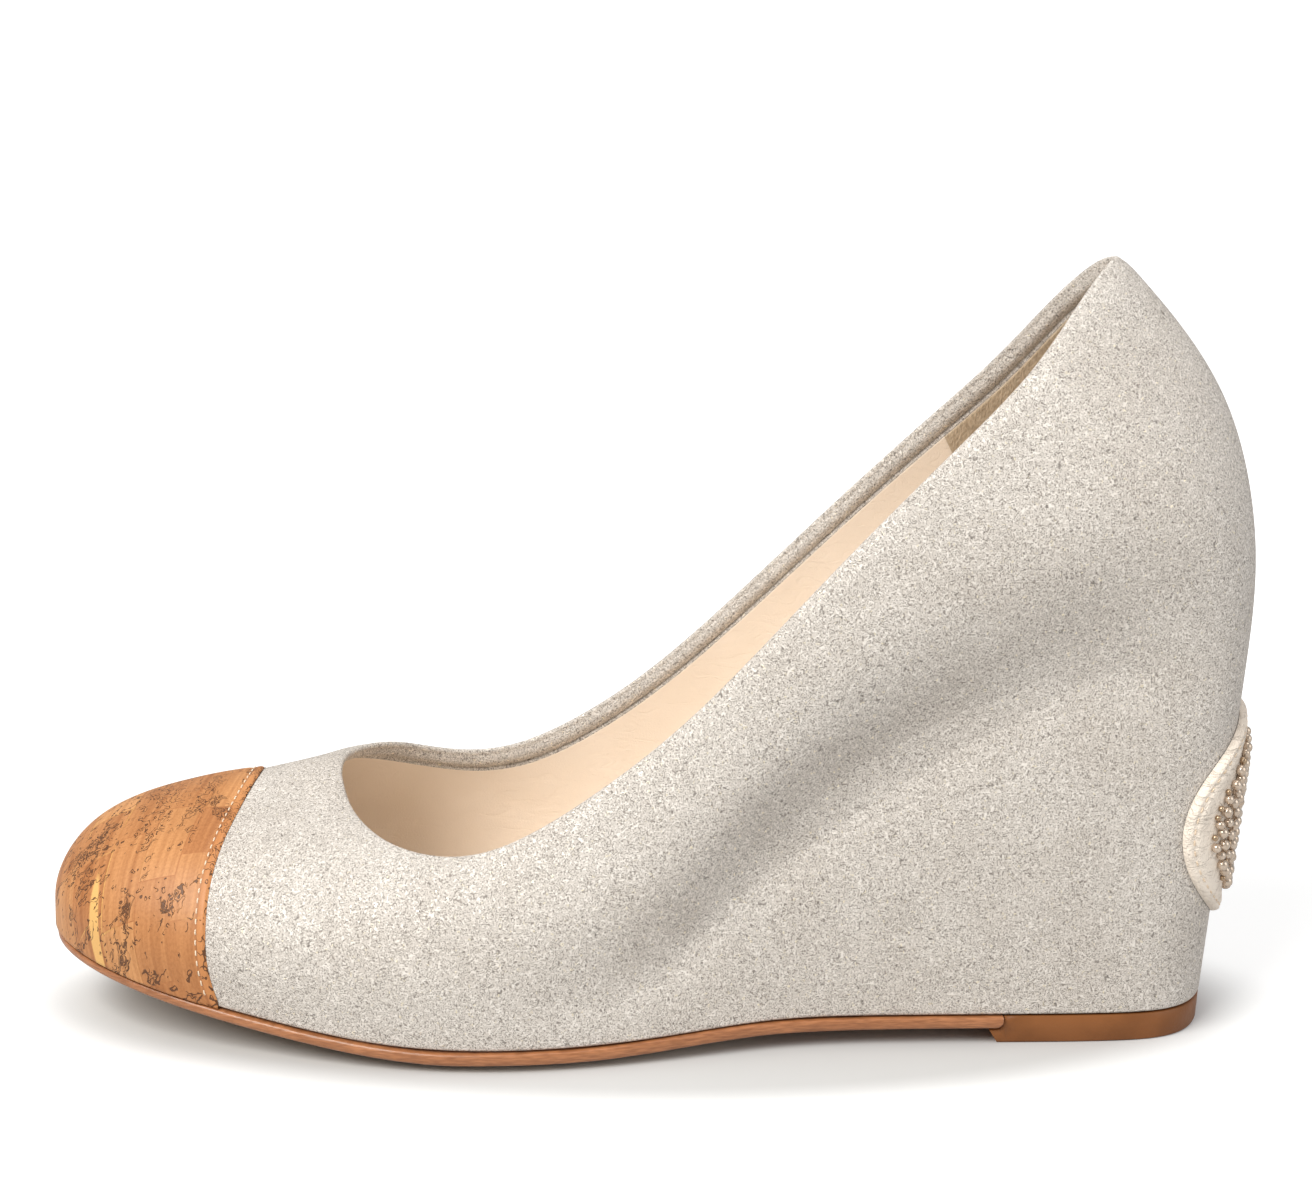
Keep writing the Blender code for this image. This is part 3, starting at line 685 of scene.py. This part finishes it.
def cork_sheet():
    """Cork pieced from blocks, with streaks across the shoe and dark brown pits.

    The cork place holds the distance ahead of the seam and the distance round the toe.
    """
    surface, tree, shader, _ = new_surface("cork", 0.46, Specular_IOR_Level=0.4)
    place = add(tree, "Attribute", attribute_name="cork_place").outputs["Vector"]
    ahead, turn, _ = add(tree, "SeparateXYZ", {0: place}).outputs
    turned = add(tree, "CombineXYZ", {0: turn, 1: ahead}).outputs[0]
    blocks = add(tree, "TexBrick", {"Vector": turned, **CORK_BLOCKS}, offset=0.37,
                 offset_frequency=2, squash=0.7, squash_frequency=3).outputs
    pick = add(tree, "SeparateColor", {0: blocks["Color"]}).outputs[0]
    tone = mix(tree, pick, CORK_WARM, CORK_PALE)
    joint = times(tree, blocks["Fac"], step(tree, noise(tree, place, 70.0, 0.0), 0.50, 0.65))
    tone = mix(tree, times(tree, joint, 0.7), tone, CORK_YELLOW)
    grain = add(tree, "CombineXYZ", {0: ahead, 1: turn, 2: pick}).outputs[0]
    streaks = noise(tree, stretch(tree, grain, (1.0, 0.03, 0.05)), 1500.0, 2.0)
    tone = darken(tree, tone, streaks, 0.66, 0.34, (0.84, 0.79, 0.74))
    layers = noise(tree, stretch(tree, grain, (1.0, 0.05, 0.05)), 420.0, 1.0)
    tone = darken(tree, tone, layers, 0.56, 0.68, (0.84, 0.78, 0.72))
    cells = noise(tree, place, 2000.0, 2.0)
    tone = darken(tree, tone, cells, 0.35, 0.7, (0.88, 0.86, 0.82))
    sliver = vectors(tree, "ADD", place, (-SLIVER_AHEAD, -SLIVER_TURN, 0.0)).outputs[0]
    sliver = vectors(tree, "LENGTH", stretch(tree, sliver, (900.0, 110.0, 0.0)))
    sliver = step(tree, sliver.outputs["Value"], 1.1, 0.8)
    tone = mix(tree, times(tree, sliver, 0.85), tone, CORK_YELLOW)
    behind = step(tree, ahead, STITCH_INSET - 0.0001, STITCH_INSET - 0.0005)
    tone = mix(tree, times(tree, behind, 0.6), tone, CORK_EDGE)
    row = math(tree, "ABSOLUTE", math(tree, "SUBTRACT", ahead, STITCH_INSET))
    tone = mix(tree, times(tree, step(tree, row, 0.00028, 0.0001), 0.55), tone, CORK_DEEP)
    bent = shake(tree, place, 450.0)
    dashes = cork_marks(tree, bent, (0.50, 1.50, 1.0), 220.0, 0.16, 0.60)
    dots = cork_marks(tree, bent, (1.10, 0.80, 1.0), 330.0, 0.14, 0.12)
    region = noise(tree, place, 140.0, 0.0)
    curls = cork_squiggles(tree, stretch(tree, bent, (0.8, 1.25, 1.0)), 230.0, 0.030,
                           step(tree, region, 0.65, 0.67))
    pit = math(tree, "MAXIMUM", math(tree, "MAXIMUM", dashes, dots), curls)
    tone = mix(tree, times(tree, step(tree, region, 0.60, 0.75), 0.15), tone, CORK_DEEP)
    height = math(tree, "SUBTRACT", times(tree, cells, 0.15), pit)
    feed(tree, shader, {"Base Color": mix(tree, times(tree, pit, 0.90), tone, CORK_PIT),
                        "Normal": bump(tree, height, 0.00018)})
    return surface


def waxed_edge():
    """Tan sole leather, waxed on its upright edge; pale beige below it, partly its own tone and
    partly painted light from the floor.
    """
    surface, tree, shader, place = new_surface("waxed sole leather", 0.34, Coat_Weight=0.25,
                                               Coat_Roughness=0.25)
    fibres = noise(tree, stretch(tree, place, (0.12, 0.12, 1.0)), 3200.0, 3.0)
    tone = mix(tree, step(tree, fibres, 0.25, 0.75), (0.285, 0.108, 0.040),
               (0.460, 0.188, 0.076))
    tone = darken(tree, tone, noise(tree, place, 70.0, 3.0), 0.35, 0.7, (0.88, 0.85, 0.82))
    # Pale beige on the lower bevel: partly the unwaxed leather, partly painted light standing
    # for the white floor's bounce.
    below = add(tree, "Attribute", attribute_name="below_edge").outputs["Fac"]
    tone = mix(tree, step(tree, below, 0.0, 0.0004), tone, (0.62, 0.47, 0.34))
    feed(tree, shader, {"Base Color": tone, "Normal": bump(tree, fibres, 0.00012)})
    return surface


def mottled(name, roughness, mottle, low, high, deep, light, grain, relief, **sockets):
    """Two tones by one noise and bumps by another, each noise a scale and its detail."""
    surface, tree, shader, place = new_surface(name, roughness, **sockets)
    spots = step(tree, noise(tree, place, *mottle), low, high)
    feed(tree, shader, {"Base Color": mix(tree, spots, deep, light),
                        "Normal": bump(tree, noise(tree, place, *grain), relief)})
    return surface


def lift_rubber():
    """Bronze-brown top lift."""
    return mottled("top lift rubber", 0.40, (120.0, 4.0), 0.3, 0.7, (0.200, 0.072, 0.020),
                   (0.250, 0.092, 0.027), (1800.0, 2.0), 0.00005, Specular_IOR_Level=0.3)


def cotton_thread():
    """Cream sewing thread with its twist."""
    return mottled("cream thread", 0.7, (5200.0, 1.0), 0.35, 0.65, (0.70, 0.52, 0.36),
                   (0.92, 0.77, 0.59), (5200.0, 1.0), 0.0001, Sheen_Weight=0.2)


def pearl_bead():
    """Champagne and pearl beads. The bead tone says which, from 0 to 1."""
    surface, tree, shader, place = new_surface("beads", 0.2, Coat_Weight=0.6,
                                               Coat_Roughness=0.08)
    tone = add(tree, "Attribute", attribute_name="bead_tone").outputs["Fac"]
    gold = step(tree, tone, 0.55, 0.6)
    base = mix(tree, gold, (0.70, 0.58, 0.47), (0.50, 0.365, 0.24))
    base = darken(tree, base, noise(tree, place, 900.0, 1.0), 0.3, 0.7, (0.84, 0.80, 0.76))
    feed(tree, shader, {"Base Color": base,
                        "Metallic": math(tree, "ADD", 0.70, times(tree, gold, 0.25)),
                        "Roughness": math(tree, "ADD", 0.16, times(tree, tone, 0.14))})
    return surface


def block_foam():
    """Pale moulded wedge block, inside the upper."""
    surface, tree, shader, place = new_surface("wedge block", 0.85)
    cells = noise(tree, place, 900.0, 2.0)
    feed(tree, shader, {"Base Color": mix(tree, cells, (0.52, 0.41, 0.28), (0.66, 0.54, 0.39)),
                        "Normal": bump(tree, cells, 0.0002)})
    return surface


# Pieces of the shoe

def rounded(share):
    """Quarter circle from 0 at share 0 to 1 at share 1 and beyond."""
    return np.sqrt(np.clip(1 - (1 - np.clip(share, 0, 1))**2, 0, 1))


def make_cover():
    """Cloth over foot and wedge in one, rolled over the topline and turned in."""
    places = even_places(COLUMNS_PER_RIB)
    rim = (full_length(places) - RIM_RADIUS)[:, None]
    lengths = HEM_TUCK + (rim - HEM_TUCK) * np.linspace(0, 1, COVER_ROWS)
    points, outward, up = skin(places, lengths)
    ease = TOP_EASE_DEPTH * np.clip(1 - (rim - lengths) / TOP_EASE, 0, 1)**2
    face = points + outward * (fold_relief(points) - ease)[..., None]
    hem_turns = np.linspace(np.pi / 2, 0, 5)[:-1]
    hem = out_from(places, HEM_TUCK * (1 - np.sin(hem_turns)) + 0 * rim,
                   HEM_TUCK * (np.cos(hem_turns) - 1))
    turns = np.linspace(0, np.pi, RIM_STEPS + 1)[1:]
    radius = RIM_RADIUS - TOP_EASE_DEPTH / 2
    inward = radius * (np.cos(turns) - 1) - TOP_EASE_DEPTH
    roll = (points[:, -1:] + outward[:, -1:] * inward[:, None]
            + up[:, -1:] * (RIM_RADIUS * np.sin(turns))[:, None])
    shares = np.linspace(0, 1, 17)[1:]
    swell = np.where(shares < BAND_SEAM, np.sin(np.pi * shares / BAND_SEAM),
                     0.5 * np.sin(np.pi * (shares - BAND_SEAM) / (1 - BAND_SEAM)))
    swell = swell - 0.35 * np.exp(-((shares - BAND_SEAM) / 0.05)**2)
    band = out_from(places, rim - RIM_BAND * shares, -2 * RIM_RADIUS - BAND_SWELL * swell)
    inside = rim - RIM_BAND - (rim - RIM_BAND - HEM_TUCK) * np.linspace(0, 1, 12)
    back = out_from(places, inside, -1.5 * RIM_RADIUS)
    grid = np.concatenate([hem, face, roll, band, back], axis=1)
    piece("fabric_cover", grid_mesh(grid, True, True), crackled_cloth(), "upper")


def inner_sheet(name, places, loop, inset, thickness, surface):
    """Sheet inside the upper, from under the turned cloth down past the foot bed."""
    top = (full_length(places) - RIM_RADIUS - RIM_BAND + LINING_LAP)[:, None]
    low = length_where(places, -inset, lambda p: p[..., 2] - foot_bed(p[..., 0]) + 0.001)
    height = top - low[:, None]
    lengths = top - height * np.linspace(0, 1, 60)
    lengths[:, 1] = top[:, 0] - thickness * 0.4
    front = out_from(places, lengths, -inset - thickness)
    turns = np.linspace(np.pi, 0, 5)
    edge = out_from(places, top + thickness / 2 * np.sin(turns),
                    -inset - thickness / 2 + thickness / 2 * np.cos(turns))
    behind = out_from(places, top - height * np.linspace(0, 1, 10)[1:], -inset)
    grid = np.concatenate([front[:, ::-1], edge, behind], axis=1)
    piece(name, grid_mesh(grid, loop, True), surface, None)


def make_lining():
    """Cream leather lining of the whole inside."""
    leather = smooth_leather("lining leather", (0.94, 0.81, 0.68), (0.90, 0.765, 0.63), 0.45,
                             1700.0, 40.0, 0.00005)
    inner_sheet("lining", even_places(SHEET_COLUMNS), True, UPPER_WALL, LINING_PROUD, leather)


def make_heel_grip():
    """Suede sheet round the inside of the heel, with a seam at each front edge."""
    side = even_places(SHEET_COLUMNS)
    middle = out_from(side, full_length(side)[:, None] - GRIP_LEVEL, 0.0)[:, 0, 0]
    inside = side[middle > along(GRIP_FRONT_SHARE)]
    inner_sheet("heel_grip", np.linspace(inside.min(), inside.max(), 110), False,
                UPPER_WALL + LINING_PROUD, GRIP_PROUD, grip_suede())


def seam_gap(points):
    """How far points lie ahead of the cork's bowed rear edge."""
    rise = np.abs(points[..., 2] - CAP_SEAM_HEIGHT) / CAP_SEAM_HALF
    return (along(CAP_SEAM_SHARE) + CAP_SWEEP * np.minimum(rise, SWEEP_LIMIT)**SWEEP_POWER
            - points[..., 0])


def cap_places(count):
    """Places round the toe between the two lower ends of the cork's edge."""
    trial = np.linspace(-TURN / 4, TURN / 4, 400)
    gap = seam_gap(out_from(trial, np.zeros((len(trial), 1)), CLEARANCE))[:, 0]
    ahead = trial[gap > 0]
    return np.linspace(ahead.min(), ahead.max(), count)


def cap_lengths(places, gaps):
    """Lengths up the columns where the cork's edge is a given distance behind."""
    lengths = full_length(places)[:, None] * np.linspace(0, 1, 240)
    gap = seam_gap(out_from(places, lengths, CLEARANCE))
    behind = np.maximum.accumulate(-gap, axis=1)
    return np.array([np.interp(-np.asarray(gaps), row, length)
                     for row, length in zip(behind, lengths)])


def cork_outset(gap):
    """Height of the cork over the cloth: thin rounded edge, drawn in by its stitches."""
    ramp = np.clip(gap / 0.011, 0, 1)
    body = CORK_RIM + (CLEARANCE + CAP_WALL - CORK_RIM) * ramp * (2 - ramp)
    stitched = np.exp(-((gap - STITCH_INSET) / 0.00055)**2)
    return EDGE_LIFT + (body - EDGE_LIFT) * rounded(gap / CORK_RIM) - 0.00014 * stitched


def make_toe_cap():
    """Cork overlay with a rounded edge."""
    places = cap_places(260)
    near = np.array((3.2, 2.9, 2.6, 2.35, 2.1, 1.85, 1.5, 1.1, 0.8, 0.6, 0.42, 0.28, 0.17, 0.08,
                     0.03, 0.0)) / 1000
    seam_rows = cap_lengths(places, near)
    ahead = seam_rows[:, :1] * np.linspace(0, 1, 60)[:-1]
    lengths = np.concatenate([ahead, seam_rows], axis=1)
    points, outward, _ = skin(places, lengths)
    outset = cork_outset(np.maximum(seam_gap(points), 0))
    outset = CORK_FOOT + (outset - CORK_FOOT) * rounded(lengths / 0.0006)
    face = points + outward * outset[..., None]
    under = points[:, ::-4] + outward[:, ::-4] * EDGE_LIFT
    grid = np.concatenate([face, under], axis=1)
    mesh, corners = piece("cork_cap", grid_mesh(grid, False, True), cork_sheet(), "toe_cap")
    turn = np.arctan2(corners[:, 2] - TOE_AXIS[1], TOE_AXIS[0] - corners[:, 1])
    store(mesh, "cork_place", "FLOAT_VECTOR", "vector",
          np.stack([seam_gap(corners), turn * TOE_RADIUS, 0 * turn], axis=1))


def stitch_row(line, outward, pitch, length):
    """Short capsules along a line of points, lying on the surface."""
    run = distance_along(line)
    shares = np.linspace(0, 1, 7)
    bow = (2 * shares - 1)**4
    swell = np.sqrt(np.clip(1 - bow, 0.02, 1)) * STITCH_RADIUS
    turns = np.linspace(0, 2 * np.pi, 7)[:-1]
    capsules = []
    for start in np.arange(pitch / 2, run[-1] - length, pitch):
        at = start + shares * length
        middle = np.stack([np.interp(at, run, line[:, k]) for k in range(3)], axis=1)
        normal = unit(np.stack([np.interp(at, run, outward[:, k]) for k in range(3)], axis=1))
        aside = unit(np.cross(unit(np.gradient(middle, axis=0)), normal))
        centre = middle - normal * (STITCH_SINK * bow)[:, None]
        capsules.append([centre[k] + swell[k] * (np.outer(np.cos(turns), aside[k])
                                                 + np.outer(np.sin(turns), normal[k]))
                         for k in range(len(shares))])
    return loft_mesh(*capsules)


def make_cap_stitches(thread):
    """Row of stitches that holds the cork's edge down."""
    places = cap_places(400)
    lengths = cap_lengths(places, [STITCH_INSET])
    above_sole = lengths[:, 0] > 0.0004
    places = places[above_sole]
    points, outward, _ = skin(places, lengths[above_sole])
    height = cork_outset(np.full(len(places), STITCH_INSET))
    line = points[:, 0] + outward[:, 0] * (height + STITCH_RADIUS * 0.35)[:, None]
    shape = stitch_row(line, outward[:, 0], STITCH_PITCH, STITCH_LENGTH)
    piece("cap_stitches", shape, thread, None)


def two_sides(ring):
    """Outer and inner half of a ring of points, both from the toe to the heel."""
    half = len(ring) // 2
    return ring[:half + 1], np.roll(ring[::-1], 1, axis=0)[:half + 1]


def make_sock():
    """Leather-covered insole with a soft rounded edge."""
    places = even_places(SHEET_COLUMNS)
    inset = UPPER_WALL + INNER_CLEARANCE
    lengths = length_where(places, -inset, lambda p: p[..., 2] - foot_bed(p[..., 0])
                           + INSOLE_THICKNESS / 2)
    rim = out_from(places, lengths[:, None], -inset)[:, 0]
    shares = np.linspace(0, 1, 33)
    sections = []
    for left, right in zip(*two_sides(rim)):
        top = left + (right - left) * shares[:, None]
        low = top[::-1].copy()
        from_edge = np.minimum(shares, 1 - shares) * np.linalg.norm(right - left)
        edge_fall = INSOLE_THICKNESS / 2 * (1 - rounded(from_edge / 0.0016))
        dish = 0.0004 * np.clip(from_edge / 0.012, 0, 1)
        top[:, 2] = foot_bed(top[:, 0]) - edge_fall - dish
        low[:, 2] = foot_bed(low[:, 0]) - INSOLE_THICKNESS
        sections.append(np.concatenate([top, low]))
    leather = smooth_leather("sock leather", (0.90, 0.79, 0.67), (0.85, 0.74, 0.61), 0.45,
                             1500.0, 40.0, 0.00008)
    piece("sock", loft_mesh(sections), leather, "insole")


def sole_line(margin):
    """Outline of the outsole seen from above: outer and inner side, toe to heel."""
    edge = columns_at(even_places(10))[:, 0, :2]
    run = unit(np.roll(edge, -1, axis=0) - np.roll(edge, 1, axis=0))
    return two_sides(edge + np.stack([run[:, 1], -run[:, 0]], axis=1) * margin)


def side_at(chain, x):
    """Y of a side of the outline at x."""
    return np.interp(x, chain[:, 0], chain[:, 1])


# Section of the outsole's edge from its upper face to the tread:
# share of SOLE_BEVEL inward, share of the edge band down, share of the rest down
SOLE_PROFILE = (
    (0.60, 0.00, 0.00), (0.06, 0.00, 0.00), (0.01, 0.07, 0.00), (-0.01, 0.25, 0.00),
    (-0.02, 0.50, 0.00), (-0.01, 0.78, 0.00), (0.02, 0.94, 0.00), (0.07, 1.00, 0.05),
    (0.22, 1.00, 0.25), (0.45, 1.00, 0.52), (0.70, 1.00, 0.78), (0.88, 1.00, 0.94),
    (1.00, 1.00, 1.00),
)
SOLE_TIP = 0.0013            # rounded end of the outsole over the top lift


def make_outsole():
    """Leather outsole with toe spring, rounded edge, lower bevel and a thin waist."""
    end = along(SOLE_END_SHARE)
    rings = [sole_line(SOLE_MARGIN - SOLE_BEVEL * row[0]) for row in SOLE_PROFILE]
    stations = [k for k, x in enumerate(rings[2][0][:, 0]) if x < end - SOLE_TIP]
    stations += list(end - SOLE_TIP * (1 - np.sin(np.linspace(0, np.pi / 2, 7))))
    shares = np.linspace(0, 1, 13)[1:-1, None]
    sections = []
    for station in stations:
        sides = []
        for side in (0, 1):
            points = []
            for row, ring in zip(SOLE_PROFILE, rings):
                if isinstance(station, int):
                    x, y = ring[side][station]
                    x = min(x, end - SOLE_TIP)
                    close = 1.0
                else:
                    x, y = station, side_at(ring[side], station)
                    close = np.sqrt(max(1 - ((x - end + SOLE_TIP) / SOLE_TIP)**2, 0.0))
                drop = edge_band(x) * row[1]
                drop += (sole_top(x) - edge_band(x) - sole_tread(x)) * row[2]
                points.append((x, y, sole_top(x) - drop * (0.45 + 0.55 * close)))
            sides.append(np.array(points))
        outer, inner = sides
        tread = outer[-1] + (inner[-1] - outer[-1]) * shares
        sections.append(np.concatenate([outer, tread, inner[::-1]]))
    mesh, corners = piece("outsole_leather", loft_mesh(sections), waxed_edge(), "outsole")
    edge = sole_top(corners[:, 0]) - edge_band(corners[:, 0])
    store(mesh, "below_edge", "FLOAT", "value", edge - corners[:, 2])


# How far the top lift stands in from the sole's outline, from the floor up
LIFT_INSETS = (0.00080, 0.00052, 0.00040, 0.00024, 0.00010, 0.00030)


def make_top_lift():
    """Top lift with a slanted breast, a rebate under the outsole and eased edges."""
    ledge = LIFT_HEIGHT - WAIST_THICKNESS - CLEARANCE
    breast = along(LIFT_BREAST_SHARE)
    end = along(SOLE_END_SHARE)
    lines = [sole_line(-inset) for inset in LIFT_INSETS]
    stations = list(np.linspace(breast, end - SOLE_TIP, 8))
    stations += list(end + CLEARANCE - SOLE_TIP * (1 - np.sin(np.linspace(0, np.pi / 2, 8))))
    stations += [k for k, x in enumerate(lines[0][0][:, 0]) if x > end + 0.001]
    sections = []
    for station in stations:
        on_line = isinstance(station, int)
        x = lines[0][0][station, 0] if on_line else station
        close = np.clip((x - end - CLEARANCE + SOLE_TIP) / SOLE_TIP, 0, 1)
        height = LIFT_HEIGHT - (LIFT_HEIGHT - ledge) * np.sqrt(1 - close**2)
        levels = (0.0, 0.00015, 0.0004, height / 2, height - 0.0002, height)
        sides = []
        for side in (0, 1):
            points = []
            for line, z in zip(lines, levels):
                lean = ledge * BREAST_SLANT * (1 - min(z / ledge, 1))
                at = x + lean * max(1 - (x - breast) / 0.004, 0)
                spot = line[side][station] if on_line else (at, side_at(line[side], at))
                points.append((*spot, z))
            sides.append(np.array(points))
        sections.append(np.concatenate([sides[0], sides[1][::-1]]))
    piece("heel_lift", loft_mesh(sections), lift_rubber(), "top_lift")


def back_points(sideways, heights, outset):
    """Points over the back of the wedge, and the outward normals there."""
    reach = np.linspace(-PATCH_WIDTH, PATCH_WIDTH, 81)
    length = distance_along(columns_at(HEEL_PLACE + reach)[:, 0])
    places = HEEL_PLACE + np.interp(sideways, length - length[len(reach) // 2], reach)
    found = length_where(places, 0.0, lambda p: p[..., 2] - heights[:, None])
    points, outward, _ = skin(places, found[:, None])
    return points[:, 0] + outward[:, 0] * outset[:, None], outward[:, 0]


def patch_oval(turns, gap, outset):
    """Points of the oval that lies a gap inside the plate's edge, and their normals."""
    narrowing = PATCH_HEIGHT / PATCH_WIDTH if gap > EVEN_BORDER else 1.0
    return back_points(np.cos(turns) * (PATCH_WIDTH / 2 - gap),
                       PATCH_MIDDLE + np.sin(turns) * (PATCH_HEIGHT / 2 - gap * narrowing),
                       np.full(len(turns), outset))


def plate_outset(inside):
    """Height of the leather plate, by the distance inside its edge."""
    crown = 0.00025 * np.exp(-((inside - 0.0021) / 0.0012)**2)
    stitched = 0.00022 * np.exp(-((inside - PATCH_STITCH_INSET) / 0.00035)**2)
    return EDGE_LIFT + (PATCH_FLOOR - EDGE_LIFT) * rounded(inside / 0.0009) + crown - stitched


def make_patch_plate():
    """Oval leather plate with a raised, stitched border."""
    inside = np.array((26.0, 20.0, 14.0, 9.0, 6.0, 4.8, 4.2, 3.7, 3.2, 2.7, 2.3, 2.0, 1.7, 1.45,
                       1.2, 1.0, 0.8, 0.6, 0.42, 0.28, 0.16, 0.07, 0.02, 0.0)) / 1000
    turns = np.linspace(0, 2 * np.pi, 128, endpoint=False)
    grid = np.stack([patch_oval(turns, gap, plate_outset(gap))[0] for gap in inside], axis=1)
    leather = smooth_leather("patch leather", (0.92, 0.82, 0.71), (0.86, 0.75, 0.64), 0.48,
                             1500.0, 120.0, 0.00022)
    piece("patch_plate", grid_mesh(grid, True, False), leather, "heel_patch")


def make_patch_stitches(thread):
    """Stitches along the border of the plate."""
    line, outward = patch_oval(np.linspace(0, 2 * np.pi, 361), PATCH_STITCH_INSET,
                               plate_outset(PATCH_STITCH_INSET) + STITCH_RADIUS * 0.4)
    shape = stitch_row(line, outward, PATCH_STITCH_PITCH, PATCH_STITCH_LENGTH)
    piece("patch_stitches", shape, thread, None)


# Beads from large to small: radius, tries, tone of pearl or champagne
BEAD_SORTS = ((0.00108, 900, 0.2), (0.00092, 1500, 0.3), (0.00078, 2200, 0.8),
              (0.00060, 3200, 0.9))
BEAD_TOP = 0.00178           # height of the beads over the plate
BEAD_SEED = 7


def make_patch_beads():
    """Round beads of several sizes sewn close together on the plate."""
    rng = np.random.default_rng(BEAD_SEED)
    spots = np.empty((0, 4))
    for radius, tries, tone in BEAD_SORTS:
        wide = PATCH_WIDTH / 2 - PATCH_BORDER - radius
        high = PATCH_HEIGHT / 2 - PATCH_BORDER - radius
        for _ in range(tries):
            turn = rng.uniform(0, 2 * np.pi)
            out = np.sqrt(rng.uniform(0, 1))
            size = radius * rng.uniform(0.94, 1.0)
            spot = (np.cos(turn) * wide * out, PATCH_MIDDLE + np.sin(turn) * high * out)
            apart = np.hypot(spots[:, 0] - spot[0], spots[:, 1] - spot[1])
            if np.all(apart > (spots[:, 2] + size) * 0.95):
                spots = np.vstack([spots, (*spot, size, tone + rng.uniform(-0.15, 0.1))])
    sink = np.minimum(spots[:, 2] * 0.72, BEAD_TOP - spots[:, 2])
    centres, _ = back_points(spots[:, 0], spots[:, 1], PATCH_FLOOR + sink)
    ball = bmesh.new()
    bmesh.ops.create_uvsphere(ball, u_segments=12, v_segments=8, radius=1.0)
    ball_points = np.array([vertex.co for vertex in ball.verts])
    ball_faces = [[vertex.index for vertex in face.verts] for face in ball.faces]
    ball.free()
    corners = centres[:, None] + ball_points[None] * spots[:, 2][:, None, None]
    faces = [[index + k * len(ball_points) for index in face]
             for k in range(len(spots)) for face in ball_faces]
    mesh = bpy.data.meshes.new("patch_beads")
    mesh.from_pydata(corners.reshape(-1, 3).tolist(), [], faces)
    store(mesh, "bead_tone", "FLOAT", "value", np.repeat(spots[:, 3], len(ball_points)))
    dress("patch_beads", mesh, pearl_bead(), "bead_bed")


# Stage: the photograph's camera, a floor, and soft boxes that look at the shoe
CAMERA_PLACE = (0.00596, -0.400, 0.14869)
CAMERA_YAW = np.radians(0.5)
CAMERA_PITCH = np.radians(9.976)     # downwards
FOCAL_LENGTH = 59.05                 # mm, on 36 mm film
SHADE_OVAL = (0.108, 0.050)          # half sides of the floor's oval that doesn't glow
ROOM_LIGHT = 0.40
Lamp = namedtuple("Lamp", "name place size power tint")
LAMPS = (
    Lamp("key", (-0.62, -0.72, 0.95), 0.75, 18.0, (1.0, 0.985, 0.945)),
    Lamp("top", (0.15, 0.10, 1.30), 0.70, 4.5, (1.0, 0.99, 0.97)),
    Lamp("fill", (0.95, -0.45, 0.50), 0.80, 3.0, (1.0, 1.0, 1.0)),
)
LAMP_AIM = (0.0, 0.0, 0.05)


def look(body, direction):
    """Turns a camera or lamp to look in a direction."""
    body.rotation_euler = Vector(direction).to_track_quat("-Z", "Y").to_euler()


def make_camera():
    """Camera at the photograph's angle."""
    lens = bpy.data.cameras.new("camera")
    lens.lens = FOCAL_LENGTH
    lens.sensor_width = 36.0
    lens.clip_start = 0.01
    lens.clip_end = 20.0
    camera = link("camera", lens)
    camera.location = CAMERA_PLACE
    look(camera, (-np.sin(CAMERA_YAW) * np.cos(CAMERA_PITCH),
                  np.cos(CAMERA_YAW) * np.cos(CAMERA_PITCH), -np.sin(CAMERA_PITCH)))
    bpy.context.scene.camera = camera


def make_floor():
    """Wide pale floor with painted light: seen by the camera only, it glows from just outside
    an oval round the shoe and more far out, so that it meets the white room unseen.
    """
    shape = bmesh.new()
    bmesh.ops.create_grid(shape, x_segments=1, y_segments=1, size=8.0)
    mesh = bpy.data.meshes.new("floor")
    shape.to_mesh(mesh)
    shape.free()
    floor = link("floor", mesh)
    surface, tree, shader, place = new_surface("pale floor", 0.9, Specular_IOR_Level=0.1,
                                               Base_Color=(0.58, 0.58, 0.58, 1.0))
    oval = stretch(tree, place, (1 / SHADE_OVAL[0], 1 / SHADE_OVAL[1], 0.0))
    away = vectors(tree, "LENGTH", oval).outputs["Value"]
    # Painted light on the floor: no glow inside the oval, so the floor round the shoe stays
    # darker, partly real shadow and partly painted shade.
    glow = mix(tree, step(tree, away, 0.90, 1.18), (0.0, 0.0, 0.0), (0.55, 0.55, 0.55))
    glow = mix(tree, step(tree, away, 3.0, 9.0), glow, (1.0, 1.0, 1.0))
    seen = add(tree, "LightPath").outputs["Is Camera Ray"]
    feed(tree, shader, {"Emission Color": glow, "Emission Strength": seen})
    mesh.materials.append(surface)


def make_lights():
    """Bright even room with a key light from the upper left."""
    for lamp in LAMPS:
        light = bpy.data.lights.new(lamp.name, "AREA")
        light.size = lamp.size
        light.energy = lamp.power
        light.color = lamp.tint
        holder = link(lamp.name, light)
        holder.location = lamp.place
        look(holder, Vector(LAMP_AIM) - Vector(lamp.place))
    world = bpy.data.worlds.new("studio")
    bpy.context.scene.world = world
    world.use_nodes = True
    tree = world.node_tree
    seen = add(tree, "LightPath").outputs["Is Camera Ray"]
    feed(tree, tree.nodes["Background"], {"Color": (1.0, 1.0, 1.0, 1.0),
                                          "Strength": math(tree, "ADD", seen, ROOM_LIGHT)})
    bpy.context.scene.view_settings.view_transform = "Standard"


make_camera()
make_floor()
make_lights()
sewing_thread = cotton_thread()
make_cover()
make_lining()
make_heel_grip()
make_toe_cap()
make_cap_stitches(sewing_thread)
make_sock()
make_outsole()
make_top_lift()
make_patch_plate()
make_patch_stitches(sewing_thread)
make_patch_beads()
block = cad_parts["wedge_core"]
block.data.materials.clear()
block.data.materials.append(block_foam())
